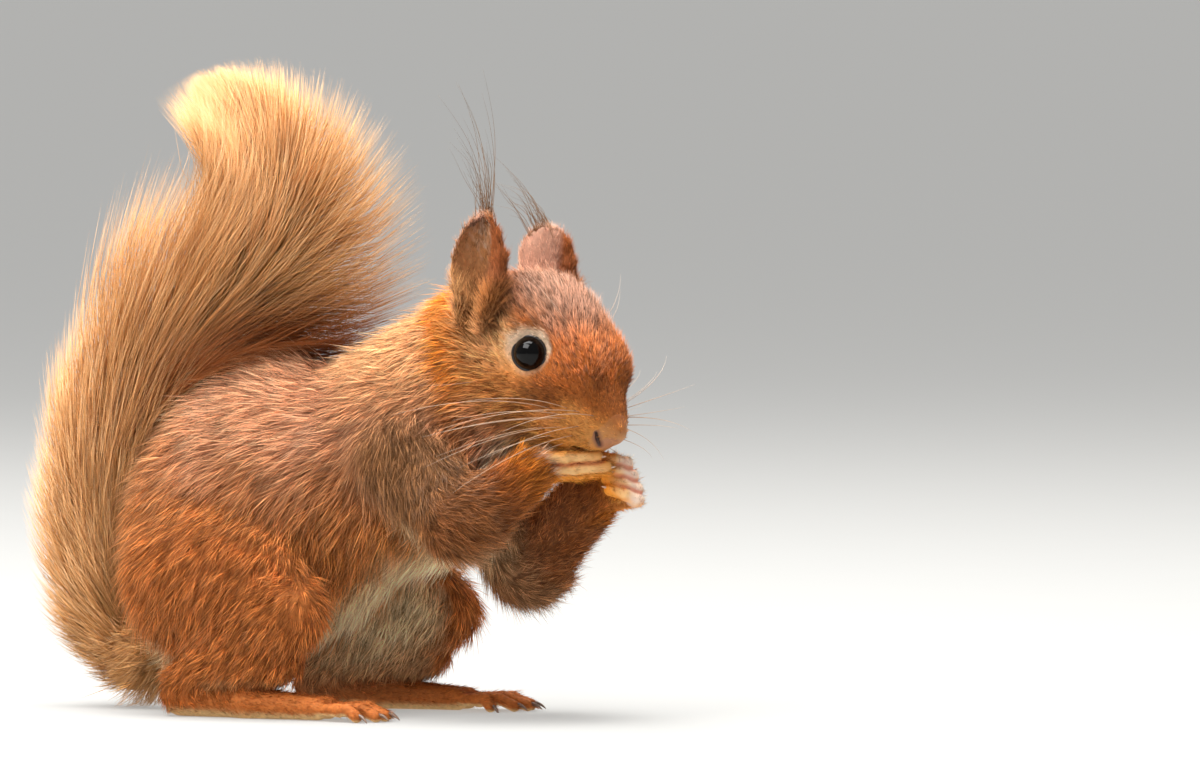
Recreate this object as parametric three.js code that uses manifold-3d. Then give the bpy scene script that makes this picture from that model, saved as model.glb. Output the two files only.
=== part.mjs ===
// A Eurasian red squirrel (Sciurus vulgaris), life size, crouched on its haunches with both hands at its mouth
// and its tail raised behind its back. Millimetres. +X is ahead of the animal, +Y its left, +Z up; while it is
// drawn, Z = 0 is the floor under both feet. The solids reach out to the tips of the coat.
// The body is one smooth field of masses. Every part is that field inside the part's own zone, and each zone is
// kept clear by all the parts that come after it, so that neighbours meet with a thin even seam.
import * as THREE from "three";
import Module from "manifold-3d";

const wasm = await Module();
wasm.setup();

// ---- driving dimensions ----
const SEAM = 0.35; // width of the cut between two neighbours
const SOLE = 0.6; // how far the lowest pads are worn flat
const EYE_R = 5.1;
const ARM_INSIDE = 9; // the upper arms and the legs part from the trunk at these distances from the middle
const LEG_INSIDE = 18;
const SIDES = { right: -1, left: 1 };

// The head's own frame starts at the tip of the nose: x runs on past the nose, y to the left, z to the crown.
const HEAD = { nose: [66.8, -6, 75.4], turn: -11.3, nod: 38.9, tilt: -2.1 };
const EYE = [-30.4, 11.3, 5];
const ORBIT = { look: [0.25, 0.93, 0.25], level: 2.5, r: 8.5 }; // the bowl round an eye and how low it reaches
const EAR = {
  root: [-49.5, 14, 5.5], tip: { right: [-64, 15.5, 27.5], left: [-63.5, 14, 25] },
  wide: 8.4, cup: 5.4, wall: 1.2,
};

const BODY = {
  chest: { at: [1, 0, 68], half: [33.5, 26.5, 31] },
  belly: { at: [-35, 0, 58], half: [41, 30, 41] },
  rump: { at: [-57, 0, 42], half: [25, 29, 34] },
};
const NECK = { from: [2, 0, 86], to: [23, -1, 102], r: [20, 17.5] };
const THROAT = { from: [10, 0, 82], to: [38, -2, 92], r: [18, 13] };

const ARM = {
  right: { shoulder: [9, -17, 71], elbow: [31, -26, 49], wrist: [49, -13.5, 64], r: [13.5, 10.4, 5.9] },
  left: { shoulder: [9, 17, 70], elbow: [28, 23, 38], wrist: [56, 11, 57], r: [13.5, 8.8, 5.4] },
};
const HAND = {
  right: { knuckles: [56.5, -9.2, 66.6], tips: [63.8, -4.8, 65.8], spread: [0.15, 0.5, -0.85] },
  left: { knuckles: [65, 5.6, 61.6], tips: [71, 1.2, 67.4], spread: [0.45, 0.35, -0.82] },
};

const LEG = {
  right: {
    hip: [-54, -18, 38], knee: [-20, -30, 28], ankle: [-51, -28, 9], toes: [-2, -30, 4],
    thigh: [-41, -25, 34], half: [29, 14.5, 23],
  },
  left: {
    hip: [-50, 18, 38], knee: [0, 28, 27], ankle: [-37, 26, 9], toes: [13, 28, 4],
    thigh: [-27, 24, 34], half: [34, 14.5, 22],
  },
};

const TAIL = {
  line: [[-78, 1, 12], [-92, 4, 32], [-93, 7, 58], [-80, 9, 84], [-58, 11, 106]],
  r: [13.5, 14.5, 18.5, 27, 37],
  squeeze: 1.25, // how much narrower the stem is than it is deep
  plume: { at: [-46, 12, 126], half: [49, 29, 50], lean: -8 },
  cuts: [74, 122], // heights where its three lengths meet, along its own line
};

// ---- vectors ----
const { hypot, max, min, cos, sin, PI } = Math;
const plus = (a, b) => a.map((v, i) => v + b[i]);
const less = (a, b) => a.map((v, i) => v - b[i]);
const times = (a, t) => a.map((v) => v * t);
const mix = (a, b, t) => a.map((v, i) => v + (b[i] - v) * t);
const dot = (a, b) => a[0] * b[0] + a[1] * b[1] + a[2] * b[2];
const cross = (a, b) => [a[1] * b[2] - a[2] * b[1], a[2] * b[0] - a[0] * b[2], a[0] * b[1] - a[1] * b[0]];
const unit = (a) => times(a, 1 / hypot(...a));
const mirror = (p, sign) => [p[0], p[1] * sign, p[2]];

const headFrame = new THREE.Matrix4().compose(
  new THREE.Vector3(...HEAD.nose),
  new THREE.Quaternion().setFromEuler(
    new THREE.Euler(...[HEAD.tilt, HEAD.nod, HEAD.turn].map(THREE.MathUtils.degToRad), "ZYX"),
  ),
  new THREE.Vector3(1, 1, 1),
);
const inHead = (p) => new THREE.Vector3(...p).applyMatrix4(headFrame).toArray();

// ---- fields: functions of a point that are negative inside, about one per millimetre ----
// A ball of radius ra at a that changes to rb at b, thinner in y where squeeze is above 1.
function cone(a, b, ra, rb, squeeze = 1) {
  const flat = (p) => [p[0], p[1] * squeeze, p[2]];
  const from = flat(a);
  const way = less(flat(b), from);
  const length = dot(way, way);
  return (p) => {
    const q = less(flat(p), from);
    const t = min(1, max(0, dot(q, way) / length));
    return hypot(...less(q, times(way, t))) - ra - (rb - ra) * t;
  };
}

function egg(at, half, frame = new THREE.Matrix4()) {
  const back = frame.clone().invert();
  return (p) => {
    const q = less(new THREE.Vector3(...p).applyMatrix4(back).toArray(), at);
    const k = hypot(...q.map((v, i) => v / half[i]));
    return (k * (k - 1)) / max(1e-6, hypot(...q.map((v, i) => v / half[i] ** 2)));
  };
}

// Masses that run into each other over a width k.
const blend = (k, ...fields) => (p) =>
  fields.map((f) => f(p)).reduce((a, b) => min(a, b) - (max(k - Math.abs(a - b), 0) ** 2) / (4 * k));
const grown = (field, by) => (p) => field(p) - by;
const hollowed = (k, field, cut) => (p) => {
  const [a, b] = [field(p), -cut(p)];
  return max(a, b) + max(k - Math.abs(a - b), 0) ** 2 / (4 * k);
};
const within = (...fields) => (p) => max(...fields.map((f) => f(p)));

// ---- masses ----
const skullEgg = (at, half) => egg(at, half, headFrame);
const skullCone = (a, b, ra, rb) => cone(inHead(a), inHead(b), ra, rb);
const skull = blend(
  5,
  skullCone([-21, 0, 3.2], [-6.6, 0, -1], 12.2, 6),
  skullCone([-24, 0, -7], [-10, 0, -6.6], 10.2, 5),
  ...Object.values(SIDES).flatMap((s) => [
    skullEgg([-36, s * 5.4, 5.2], [20.5, 13.4, 17.4]),
    skullEgg([-36, s * 9.5, -4], [14, 8.6, 11]),
    skullEgg([-21, s * 7.8, 7.8], [12.6, 9, 11.6]),
    skullEgg([-11, s * 5, -0.5], [8.5, 5.6, 6.4]),
  ]),
);
const orbits = Object.values(SIDES).map((s) => {
  const look = mirror(unit(ORBIT.look), s);
  const at = inHead(plus(mirror(EYE, s), times(look, ORBIT.level + ORBIT.r)));
  return (p) => hypot(...less(p, at)) - ORBIT.r;
});
const neck = blend(8, cone(NECK.from, NECK.to, ...NECK.r), cone(THROAT.from, THROAT.to, ...THROAT.r));
const torso = blend(12, ...Object.values(BODY).map(({ at, half }) => egg(at, half)));

const limb = {};
for (const side in SIDES) {
  const { shoulder, elbow, wrist, r } = ARM[side];
  const { hip, knee, ankle, thigh, half } = LEG[side];
  const calf = mix(knee, ankle, 0.4);
  limb[side] = {
    upper_arm: cone(shoulder, elbow, r[0], r[1]),
    forearm: cone(elbow, wrist, r[1], r[2]),
    thigh: blend(10, egg(thigh, half), cone(hip, knee, 17, 11)),
    shank: blend(6, cone(knee, ankle, 10.5, 6.4), egg(plus(calf, [2, 0, -5]), [17, 8, 9.5])),
  };
}
const limbs = Object.values(limb);
const core = blend(8, blend(10, torso, blend(9, neck, skull)), ...limbs.flatMap((l) => [l.upper_arm, l.thigh]));
const united = (...fields) => (p) => min(...fields.map((f) => f(p)));
const body = united(
  hollowed(3, core, united(...orbits)),
  ...limbs.flatMap((l) => [blend(5, l.upper_arm, l.forearm), blend(5, l.thigh, l.shank)]),
);

const leaning = new THREE.Matrix4()
  .makeRotationY(THREE.MathUtils.degToRad(TAIL.plume.lean))
  .setPosition(...TAIL.plume.at);
const brush = blend(
  14,
  ...TAIL.line.slice(1).map((p, i) => cone(TAIL.line[i], p, TAIL.r[i], TAIL.r[i + 1], TAIL.squeeze)),
  egg([0, 0, 0], TAIL.plume.half, leaning),
);

// ---- solids ----
const solid = (vertices, triangles) =>
  new wasm.Manifold(
    new wasm.Mesh({
      numProp: 3,
      vertProperties: Float32Array.from(vertices.flat()),
      triVerts: Uint32Array.from(triangles.flat()),
    }),
  );

// A closed skin over rings of points that all turn the same way, with a point at each end, faces out.
function lofted(start, rings, end) {
  const sides = rings[0].length;
  const vertices = [start, ...rings.flat(), end];
  const last = vertices.length - 1;
  const triangles = [];
  for (let s = 0; s < sides; s++) {
    const t = (s + 1) % sides;
    triangles.push([0, 1 + t, 1 + s]);
    triangles.push([last, last - sides + s, last - sides + t]);
    for (let r = 1; r + sides < last; r += sides) {
      triangles.push([r + s, r + t, r + sides + t]);
      triangles.push([r + s, r + sides + t, r + sides + s]);
    }
  }
  const made = solid(vertices, triangles);
  return made.volume() > 0 ? made : solid(vertices, triangles.map((t) => t.toReversed()));
}

// The skin of a field, found along rays that fan out round the line from a to b.
function cast(field, a, b, sides, shaft, cap) {
  const along = unit(less(b, a));
  const u = unit(cross(along, [0, 0.06, 1]));
  const v = cross(along, u);
  const reach = (from, way) => {
    let near = 0;
    let far = 1;
    while (field(plus(from, times(way, far))) < 0 && far < 120) far += 1;
    near = far - 1;
    for (let i = 0; i < 14; i++) {
      const half = (near + far) / 2;
      if (field(plus(from, times(way, half))) < 0) near = half;
      else far = half;
    }
    return plus(from, times(way, near));
  };
  const ring = (from, rise) =>
    Array.from({ length: sides }, (_, s) => {
      const turn = (2 * PI * s) / sides;
      const out = plus(times(u, cos(turn)), times(v, sin(turn)));
      return reach(from, plus(times(out, cos(rise)), times(along, sin(rise))));
    });
  const rings = [];
  for (let i = 1; i < cap; i++) rings.push(ring(a, (-PI / 2) * (1 - i / cap)));
  for (let i = 0; i <= shaft; i++) rings.push(ring(mix(a, b, i / shaft), 0));
  for (let i = 1; i < cap; i++) rings.push(ring(b, (PI / 2) * (i / cap)));
  return lofted(reach(a, times(along, -1)), rings, reach(b, along));
}

// A tube through rings given as [centre, half width, half depth], its width lying along side.
function tube(rings, side, sides) {
  const made = rings.map(([at, wide, deep], i) => {
    const along = unit(less(rings[min(rings.length - 1, i + 1)][0], rings[max(0, i - 1)][0]));
    const u = unit(less(side, times(along, dot(side, along))));
    const v = cross(along, u);
    return Array.from({ length: sides }, (_, s) => {
      const turn = (2 * PI * s) / sides;
      return plus(at, plus(times(u, wide * cos(turn)), times(v, deep * sin(turn))));
    });
  });
  return lofted(rings[0][0], made, rings.at(-1)[0]);
}

function boxAbove(point, normal, size = 400) {
  const box = new THREE.BoxGeometry(size, size, size).translate(0, 0, size / 2).deleteAttribute("uv");
  const up = new THREE.Vector3(...normal).normalize();
  box.applyQuaternion(new THREE.Quaternion().setFromUnitVectors(new THREE.Vector3(0, 0, 1), up));
  box.translate(...point);
  return fromGeometry(box);
}
function fromGeometry(geometry) {
  const p = geometry.attributes.position;
  const seen = new Map();
  const vertices = [];
  const same = Array.from({ length: p.count }, (_, i) => {
    const v = [p.getX(i), p.getY(i), p.getZ(i)];
    const key = v.map((c) => (c + 0).toFixed(3).replace("-0.000", "0.000")).join();
    if (!seen.has(key)) seen.set(key, vertices.push(v) - 1);
    return seen.get(key);
  });
  const triangles = [];
  for (let i = 0; i < geometry.index.count; i += 3) {
    const t = [0, 1, 2].map((k) => same[geometry.index.getX(i + k)]);
    if (new Set(t).size === 3) triangles.push(t);
  }
  return solid(vertices, triangles);
}
// A straight plug that runs outwards in y from depth, its outline given as points in x and z.
function plug(outline, depth, sign) {
  const at = (y) => outline.map(([x, z]) => [x, y * sign, z]);
  const rings = [at(depth), at(70)];
  const centre = (ring) => times(ring.reduce(plus), 1 / ring.length);
  return lofted(centre(rings[0]), rings, centre(rings[1]));
}
const round = (sides, point) => Array.from({ length: sides }, (_, i) => point((2 * PI * i) / sides));
const ball = (at, r, sides, rings) =>
  fromGeometry(new THREE.SphereGeometry(r, sides, rings).rotateX(PI / 2).translate(...at));
const largest = (m) => m.decompose().reduce((a, b) => (a.volume() > b.volume() ? a : b));
const aboveFloor = boxAbove([0, 0, 0], [0, 0, 1]);

// ---- hands and feet: a palm or sole and digits that end in curved claws ----
function digit({ root, knuckle, tip, r, claw }, side, bend) {
  const way = unit(less(tip, knuckle));
  const ahead = (t, drop = 0) => plus(tip, plus(times(way, t), times(bend, drop)));
  const toe = tube(
    [[root, r * 0.9, r * 0.9], [knuckle, r, r], [ahead(0), r * 0.95, r * 0.95], [ahead(r * 0.7), r * 0.55, r * 0.55]],
    side, 5,
  );
  const nail = tube(
    [[ahead(-r * 0.3, -r * 0.35), r * 0.4, r * 0.5], [ahead(claw * 0.55, -r * 0.25), r * 0.34, r * 0.44],
      [ahead(claw, claw * 0.3), 0.27, 0.27]],
    side, 3,
  );
  return toe.add(nail);
}

function hand(side) {
  const { wrist, r } = ARM[side];
  const { knuckles, tips, spread } = HAND[side];
  const way = unit(less(knuckles, wrist));
  const wide = unit(less(spread, times(way, dot(spread, way))));
  const bend = times(cross(way, wide), SIDES[side]);
  const across = (p, t) => plus(p, times(wide, t));
  let made = tube(
    [[mix(wrist, knuckles, -0.3), r[2] * 0.8, r[2] * 0.8], [wrist, r[2] * 0.95, r[2] * 0.85],
      [mix(wrist, knuckles, 0.5), 4.7, 3.3], [knuckles, 4.7, 2.6], [mix(knuckles, tips, 0.25), 3, 1.3]],
    wide, 8,
  );
  for (const i of [-1.5, -0.5, 0.5, 1.5]) {
    const root = across(mix(wrist, knuckles, 0.6), i * 1.9);
    const tip = plus(across(mix(knuckles, tips, 1 - 0.06 * i * i), i * 2.3), times(bend, 0.8));
    made = made.add(digit({ root, knuckle: across(knuckles, i * 2.5), tip, r: 1.4, claw: 3 }, wide, bend));
  }
  const root = across(mix(wrist, knuckles, 0.45), -3);
  const thumb = { root, knuckle: plus(across(root, -1.4), way), tip: plus(across(root, -2.4), times(way, 2.6)) };
  return made.add(digit({ ...thumb, r: 1.1, claw: 1.2 }, bend, bend));
}

function foot(side, grow = 0) {
  const { ankle, toes } = LEG[side];
  const at = (t, y, z) => [ankle[0] + (toes[0] - ankle[0]) * t, ankle[1] + (toes[1] - ankle[1]) * t + y, z];
  const low = -SOLE;
  const ring = (t, wide, deep) => [at(t, 0, deep + low), wide + grow, deep + grow];
  let made = tube(
    [ring(-0.13, 2, 2.2), ring(-0.09, 4.2, 4.4), ring(0, 5.6, 5.6), ring(0.3, 5.4, 5), ring(0.6, 6.4, 4.4),
      ring(0.85, 7.4, 3.7), ring(1, 6.6, 2.8), ring(1.06, 3.5, 1.6)],
    [0, 1, 0], 8,
  );
  for (const i of [-2, -1, 0, 1, 2]) {
    const reach = 1.24 - 0.03 * i * i + 0.012 * i * SIDES[side];
    const toe = { root: at(0.8, i * 2.1, 3), knuckle: at(1.02, i * 3.2, 3.5), tip: at(reach, i * 4.2, 1.9 + low) };
    if (!grow) made = made.add(digit({ ...toe, r: 1.9, claw: 4.2 }, [0, 1, 0], [0, 0, -1]));
  }
  return made;
}

// ---- ears: a cupped leaf of thin wall that opens to the side and ahead ----
function ear(side) {
  const sign = SIDES[side];
  const root = inHead(mirror(EAR.root, sign));
  const tip = inHead(mirror(EAR.tip[side], sign));
  const rise = less(tip, root);
  const toNose = less(inHead([1, 0, 0]), inHead([0, 0, 0]));
  const wide = unit(less(toNose, times(rise, dot(toNose, rise) / dot(rise, rise))));
  const out = times(unit(cross(wide, rise)), -sign);
  const across = unit(plus(times(wide, 0.94), times(out, -0.34)));
  const open = unit(plus(times(wide, 0.34), times(out, 0.94)));
  const arc = [-1, -0.6, 0, 0.6, 1];
  const rings = [-0.25, 0, 0.22, 0.45, 0.66, 0.84, 0.95, 1].map((t) => {
    const full = t < 0.3 ? 0.86 + 0.45 * t : 1;
    const half = EAR.wide * full * (1 - max(0, (t - 0.3) / 0.76) ** 2.3);
    const cup = EAR.cup * (1 - 0.55 * max(0, t));
    const wall = EAR.wall * (1.25 - 0.5 * max(0, t));
    const point = (x, lift) =>
      plus(plus(root, times(rise, t)), plus(times(across, x * half), times(open, cup * x * x * 0.9 + lift)));
    return [...arc.map((x) => point(x, -wall)), ...arc.toReversed().map((x) => point(x * 0.9, wall * 0.6))];
  });
  const centre = (ring) => times(ring.reduce(plus), 1 / ring.length);
  return lofted(centre(rings[0]), rings, centre(rings.at(-1)));
}

// ---- the parts, each with the zone it keeps for itself ----
const solids = {};
let taken;
const claim = (zone) => {
  taken = taken ? taken.add(zone) : zone;
};
const rest = (made) => largest(made.subtract(taken));

for (const side in SIDES) {
  const at = inHead(mirror(EYE, SIDES[side]));
  solids[`eye_${side}`] = ball(at, EYE_R, 14, 9);
  claim(ball(at, EYE_R + SEAM, 14, 9));
}

// A joint parts two bones by the plane that halves the angle between them.
const joint = (at, one, two) => boxAbove(at, less(unit(less(one, at)), unit(less(two, at))));
for (const side in SIDES) {
  const { elbow, wrist } = ARM[side];
  const way = unit(less(wrist, elbow));
  solids[`hand_${side}`] = largest(hand(side).intersect(boxAbove(plus(wrist, times(way, SEAM / 2)), way)));
  solids[`foot_${side}`] = largest(foot(side).intersect(aboveFloor));
  claim(foot(side, SEAM));
}
for (const side in SIDES) {
  const { shoulder, elbow, wrist, r } = ARM[side];
  const way = unit(less(wrist, elbow));
  const past = boxAbove(plus(wrist, times(way, -SEAM / 2)), way);
  const zone = (more) => cone(elbow, wrist, r[1] + 1.5 + more, r[2] + 2 + more);
  const own = (more) => joint(plus(elbow, times(way, -more)), wrist, shoulder);
  const skin = cast(within(body, zone(0)), mix(elbow, wrist, 0.1), wrist, 12, 4, 4);
  solids[`forearm_${side}`] = rest(skin.intersect(own(0)).subtract(past));
  claim(cast(zone(SEAM), elbow, wrist, 12, 2, 4).intersect(own(SEAM)).subtract(past));
}
for (const side in SIDES) {
  const { shoulder, elbow, r } = ARM[side];
  const flat = (p) => [p[0], 0, p[2]];
  const way = unit(flat(less(elbow, shoulder)));
  const over = [way[2], 0, -way[0]];
  const zone = (more) =>
    plug(
      round(14, (turn) => {
        const end = cos(turn) > 0 ? elbow : shoulder;
        const reach = (cos(turn) > 0 ? r[1] + 5 : r[0]) + more;
        const p = plus(end, plus(times(way, reach * cos(turn)), times(over, -reach * sin(turn))));
        return [p[0], p[2]];
      }),
      ARM_INSIDE - more,
      SIDES[side],
    );
  const skin = cast(within(body, cone(shoulder, elbow, r[0] + 5, r[1] + 4)), shoulder, elbow, 14, 3, 4);
  solids[`upper_arm_${side}`] = rest(skin.intersect(zone(0)));
  claim(zone(SEAM));
}
for (const side in SIDES) {
  const { hip, knee, ankle, thigh, half } = LEG[side];
  const sign = SIDES[side];
  const middle = [(thigh[0] + knee[0]) / 2 - 6, 30];
  const size = [knee[0] + 14 - middle[0], 31];
  const soft = (v) => Math.sign(v) * Math.abs(v) ** 0.72;
  const zone = (more) =>
    plug(
      round(18, (turn) => [
        middle[0] + (size[0] + more) * soft(cos(turn)),
        middle[1] + (size[1] + more) * soft(sin(turn)),
      ]),
      LEG_INSIDE - more,
      sign,
    );
  const out = [0, sign * 6, 0];
  const from = plus(thigh, plus(out, [-12, 0, 0]));
  const to = mix(thigh, knee, 0.7);
  const near = within(body, grown(egg(plus(thigh, out), plus(half, [8, 6, 10])), 0));
  const above = cast(near, from, to, 18, 3, 5).intersect(zone(0)).intersect(aboveFloor);
  const low = cone(plus(knee, [-1, 0, -10]), plus(ankle, [0, 0, 1]), 17, 14);
  const under = cast(within(body, low), plus(knee, [-5, 0, -9]), plus(ankle, [3, 0, 2]), 14, 3, 4)
    .intersect(zone(0))
    .intersect(aboveFloor);
  const split = joint(plus(knee, [0, 0, -8]), ankle, hip);
  solids[`shank_${side}`] = rest(under.intersect(split));
  solids[`thigh_${side}`] = rest(above.subtract(joint(plus(knee, [0, 0, -8 + SEAM]), ankle, hip)));
  claim(zone(SEAM));
}

const face = { from: inHead([-36, 0, 0]), to: inHead([-9, 0, -3]) };
const headZone = (more) => cone(inHead([-38, 0, -1]), face.to, 22.5 + more, 16 + more);
const headSkin = (more, margin = 0) =>
  cast(within(grown(body, more), headZone(margin)), face.from, face.to, 24, 8, 6);
solids.head = rest(headSkin(0));
claim(cast(headZone(SEAM), face.from, face.to, 26, 2, 6));

const collar = { from: [10, 0, 91], to: [30, 0, 96] };
const neckZone = (more) => cone(collar.from, collar.to, 22 + more, 22 + more);
const neckSkin = (more, margin = 0) =>
  cast(within(grown(body, more), neckZone(margin)), collar.from, collar.to, 18, 3, 5);
solids.neck = rest(neckSkin(0));
claim(cast(neckZone(SEAM), collar.from, collar.to, 20, 2, 5));

const spine = { from: [-56, 0, 46], to: [-2, 0, 66] };
const trunkSkin = (more) => cast(within(grown(body, more), grown(torso, 7)), spine.from, spine.to, 22, 7, 6);
solids.trunk = rest(trunkSkin(0));

for (const side in SIDES)
  solids[`ear_${side}`] = largest(ear(side).subtract(headSkin(SEAM, 3)).subtract(neckSkin(SEAM, 3)));

const stem = { from: [-86, 4, 40], to: [-50, 12, 124] };
const tail = cast(brush, stem.from, stem.to, 20, 9, 5)
  .intersect(aboveFloor)
  .subtract(trunkSkin(SEAM))
  .subtract(neckSkin(SEAM, 3));
const way = unit(less(stem.to, stem.from));
const heights = TAIL.cuts.map((z) => mix(stem.from, stem.to, (z - stem.from[2]) / (stem.to[2] - stem.from[2])));
const above = (i) => boxAbove(plus(heights[i], times(way, SEAM)), way);
const below = (i) => boxAbove(heights[i], times(way, -1));
solids.tail_base = largest(tail.intersect(below(0)));
solids.tail_middle = largest(tail.intersect(above(0)).intersect(below(1)));
solids.tail_tip = largest(tail.intersect(above(1)));

// ---- the model, set so that its origin is under the middle of its outer box ----
const COLOR = { coat: 0xa65f38, pale: 0xd9c6ac, tail: 0xb5713d, paw: 0xa85c34, eye: 0x0c0908 };
const colorOf = (name) => COLOR[name.match(/eye|tail/)?.[0] ?? (/hand|foot/.test(name) ? "paw" : "coat")];

const squirrel = new THREE.Group();
squirrel.name = "red_squirrel";
for (const [name, made] of Object.entries(solids)) {
  const mesh = made.getMesh();
  const geometry = new THREE.BufferGeometry();
  geometry.setAttribute("position", new THREE.BufferAttribute(Float32Array.from(mesh.vertProperties), 3));
  geometry.setIndex(new THREE.BufferAttribute(Uint32Array.from(mesh.triVerts), 1));
  const roughness = name.startsWith("eye") ? 0.08 : 0.9;
  const material = new THREE.MeshStandardMaterial({ color: colorOf(name), roughness, metalness: 0 });
  const part = new THREE.Mesh(geometry, material);
  part.name = name;
  squirrel.add(part);
}
const bounds = new THREE.Box3().setFromObject(squirrel);
const middle = bounds.getCenter(new THREE.Vector3());
for (const part of squirrel.children) part.geometry.translate(-middle.x, -middle.y, -bounds.min.z);

export default squirrel;
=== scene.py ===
import math
import bpy
import numpy as np
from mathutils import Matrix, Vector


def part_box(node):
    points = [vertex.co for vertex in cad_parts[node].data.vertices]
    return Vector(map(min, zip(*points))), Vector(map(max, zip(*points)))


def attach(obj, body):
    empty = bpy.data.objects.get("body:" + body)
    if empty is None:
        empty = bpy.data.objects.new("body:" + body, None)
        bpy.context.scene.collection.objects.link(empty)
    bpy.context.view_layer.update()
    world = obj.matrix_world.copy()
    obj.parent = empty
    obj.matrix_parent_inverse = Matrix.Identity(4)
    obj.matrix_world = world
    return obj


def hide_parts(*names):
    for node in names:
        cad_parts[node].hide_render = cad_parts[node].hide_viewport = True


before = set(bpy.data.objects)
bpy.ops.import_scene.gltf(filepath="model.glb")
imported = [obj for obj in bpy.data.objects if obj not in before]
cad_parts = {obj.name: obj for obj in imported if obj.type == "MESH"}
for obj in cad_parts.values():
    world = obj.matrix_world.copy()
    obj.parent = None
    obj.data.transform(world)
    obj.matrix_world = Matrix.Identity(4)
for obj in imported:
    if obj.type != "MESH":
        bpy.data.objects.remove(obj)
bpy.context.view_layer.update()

import openvdb
from mathutils import Matrix, Vector

print("frame loaded:", len(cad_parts), "nodes")

# Everything is worked out in millimetres with the floor at zero, x ahead, y to the animal's left and z up,
# and goes into metres in the frame's own place only when a mesh is made.
sides = {"right": -1, "left": 1}
headPose = {"nose": (66.8, -6, 75.4), "turn": -11.3, "nod": 38.9, "tilt": -2.1}
eyeShape = {
    "at": (-30.4, 11.3, 5), "radius": 5.1,
    "look": (0.25, 0.93, 0.25), "bowlLevel": 1.0, "bowlRadius": 9.0,
}
bodyShape = {
    "chest": ((1, 0, 68), (33.5, 26.5, 31)),
    "belly": ((-35, 0, 58), (41, 30, 41)),
    "rump": ((-57, 0, 42), (25, 29, 34)),
    "breast": ((24, -1, 78), (20, 17, 17)),
}
neckShape = {
    "nape": ((2, 0, 86), (23, -1, 102), 20, 17.5),
    "throat": ((10, 0, 82), (38, -2, 92), 18, 13),
}
armShape = {
    "right": {"shoulder": (9, -17, 71), "elbow": (30, -25, 54), "wrist": (42.8, -15.2, 65.0),
              "radii": (13.5, 10.4, 7.0), "knuckles": (47.2, -13.0, 69.5), "tips": (62.2, -5.4, 69.6),
              "spread": (0.1, 0.3, -0.95), "pitch": 4.3, "thick": 1.85,
              "fingers": ((-0.52, 0), (0.5, 0), (1.15, 2.6), (1.5, 5.0))},
    "left": {"shoulder": (9, 17, 70), "elbow": (28, 23, 40), "wrist": (50.5, 10, 58),
             "radii": (13.5, 10.8, 8.2), "knuckles": (67, 4.2, 64.4), "tips": (60.8, -1, 67.2),
             "spread": (0.3, 0.1, -0.95), "pitch": 3.6, "thick": 1.8,
             "fingers": ((-1.3, 0.2), (-0.3, 0), (0.7, 0.2), (1.5, 1.6))},
}
legShape = {
    "right": {"hip": (-54, -18, 38), "knee": (-20, -30, 28), "ankle": (-51, -28, 9), "toes": (-2, -30, 4),
              "thigh": (-41, -25, 34), "half": (29, 14.5, 23)},
    "left": {"hip": (-50, 18, 38), "knee": (0, 28, 27), "ankle": (-37, 26, 9), "toes": (13, 28, 4),
             "thigh": (-27, 24, 34), "half": (34, 14.5, 22)},
}
earShape = {
    "root": (-49.5, 14, 5.5), "tip": {"right": (-63.3, 15.4, 26.6), "left": (-62.2, 14, 23.2)},
    "wide": 7.6, "blunt": {"right": 3.2, "left": 5.0}, "cup": {"right": 6.0, "left": 5.2}, "wall": 0.6,
    "facing": {"right": (0.10, 0.99), "left": (-0.32, 0.95)},
    "roll": ((-0.1, 1.8), (0.1, 2.4), (0.3, 2.6), (0.55, 2.1), (0.78, 1.3), (0.93, 0.8)),
}
tailShape = {
    "bone": ((-72, 0, 18), (-80, 1, 13), (-91, 3, 24), (-95, 5, 45), (-91, 7, 68), (-78, 9, 88),
             (-60, 11, 103), (-47, 12, 120), (-43, 12, 138), (-48, 12, 154), (-55, 12, 164)),
    "thick": (8, 7.5, 6, 5, 4.4, 4, 3.6, 3.2, 2.8, 2.2, 1.4),
    "line": ((-78, 1, 12), (-92, 4, 32), (-93, 7, 58), (-80, 9, 84), (-58, 11, 106)),
    "reach": (13.5, 14.5, 18.5, 27, 37), "squeeze": 1.25,
    "plume": (-46, 12, 126), "plumeHalf": (49, 29, 50), "lean": -8,
}
# how deep the coat is over each mass, so that the skin lies that much inside the solids
coatDepth = {
    "muzzle": 0.8, "face": 1.5, "cheek": 2.4, "skull": 2.0, "nape": 5, "throat": 4.5, "torso": 5.2,
    "upperArm": 2.6, "forearm": 1.5, "wrist": 0.9, "thigh": 4.2, "shank": 2.4,
}


def unit(v):
    v = np.asarray(v, np.float32)
    return v / np.maximum(np.linalg.norm(v, axis=-1, keepdims=True), 1e-9)


def mix(a, b, t):
    return np.asarray(a, np.float32) * (1 - t) + np.asarray(b, np.float32) * t


def ramp(low, high, v):
    t = np.clip((v - low) / (high - low), 0, 1)
    return t * t * (3 - 2 * t)


def dot(a, b):
    return np.einsum("...i,...i->...", a, b)


def flipped(p, sign):
    return np.float32((p[0], p[1] * sign, p[2]))


def ripple(p, size, seed):
    # a smooth wandering value from about -1 to 1 that changes over roughly size millimetres
    dice = np.random.default_rng(seed)
    total = 0
    for _ in range(6):
        way = unit(dice.normal(size=3)) * (2 * math.pi / size) * dice.uniform(0.6, 1.6)
        total = total + np.sin(p @ way.astype(np.float32) + dice.uniform(0, 6.28))
    return total / 3


def turnMatrix(angles):
    x, y, z = (math.radians(a) for a in angles)
    turned = Matrix.Rotation(z, 3, "Z") @ Matrix.Rotation(y, 3, "Y") @ Matrix.Rotation(x, 3, "X")
    return np.array(turned, np.float32)


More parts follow.
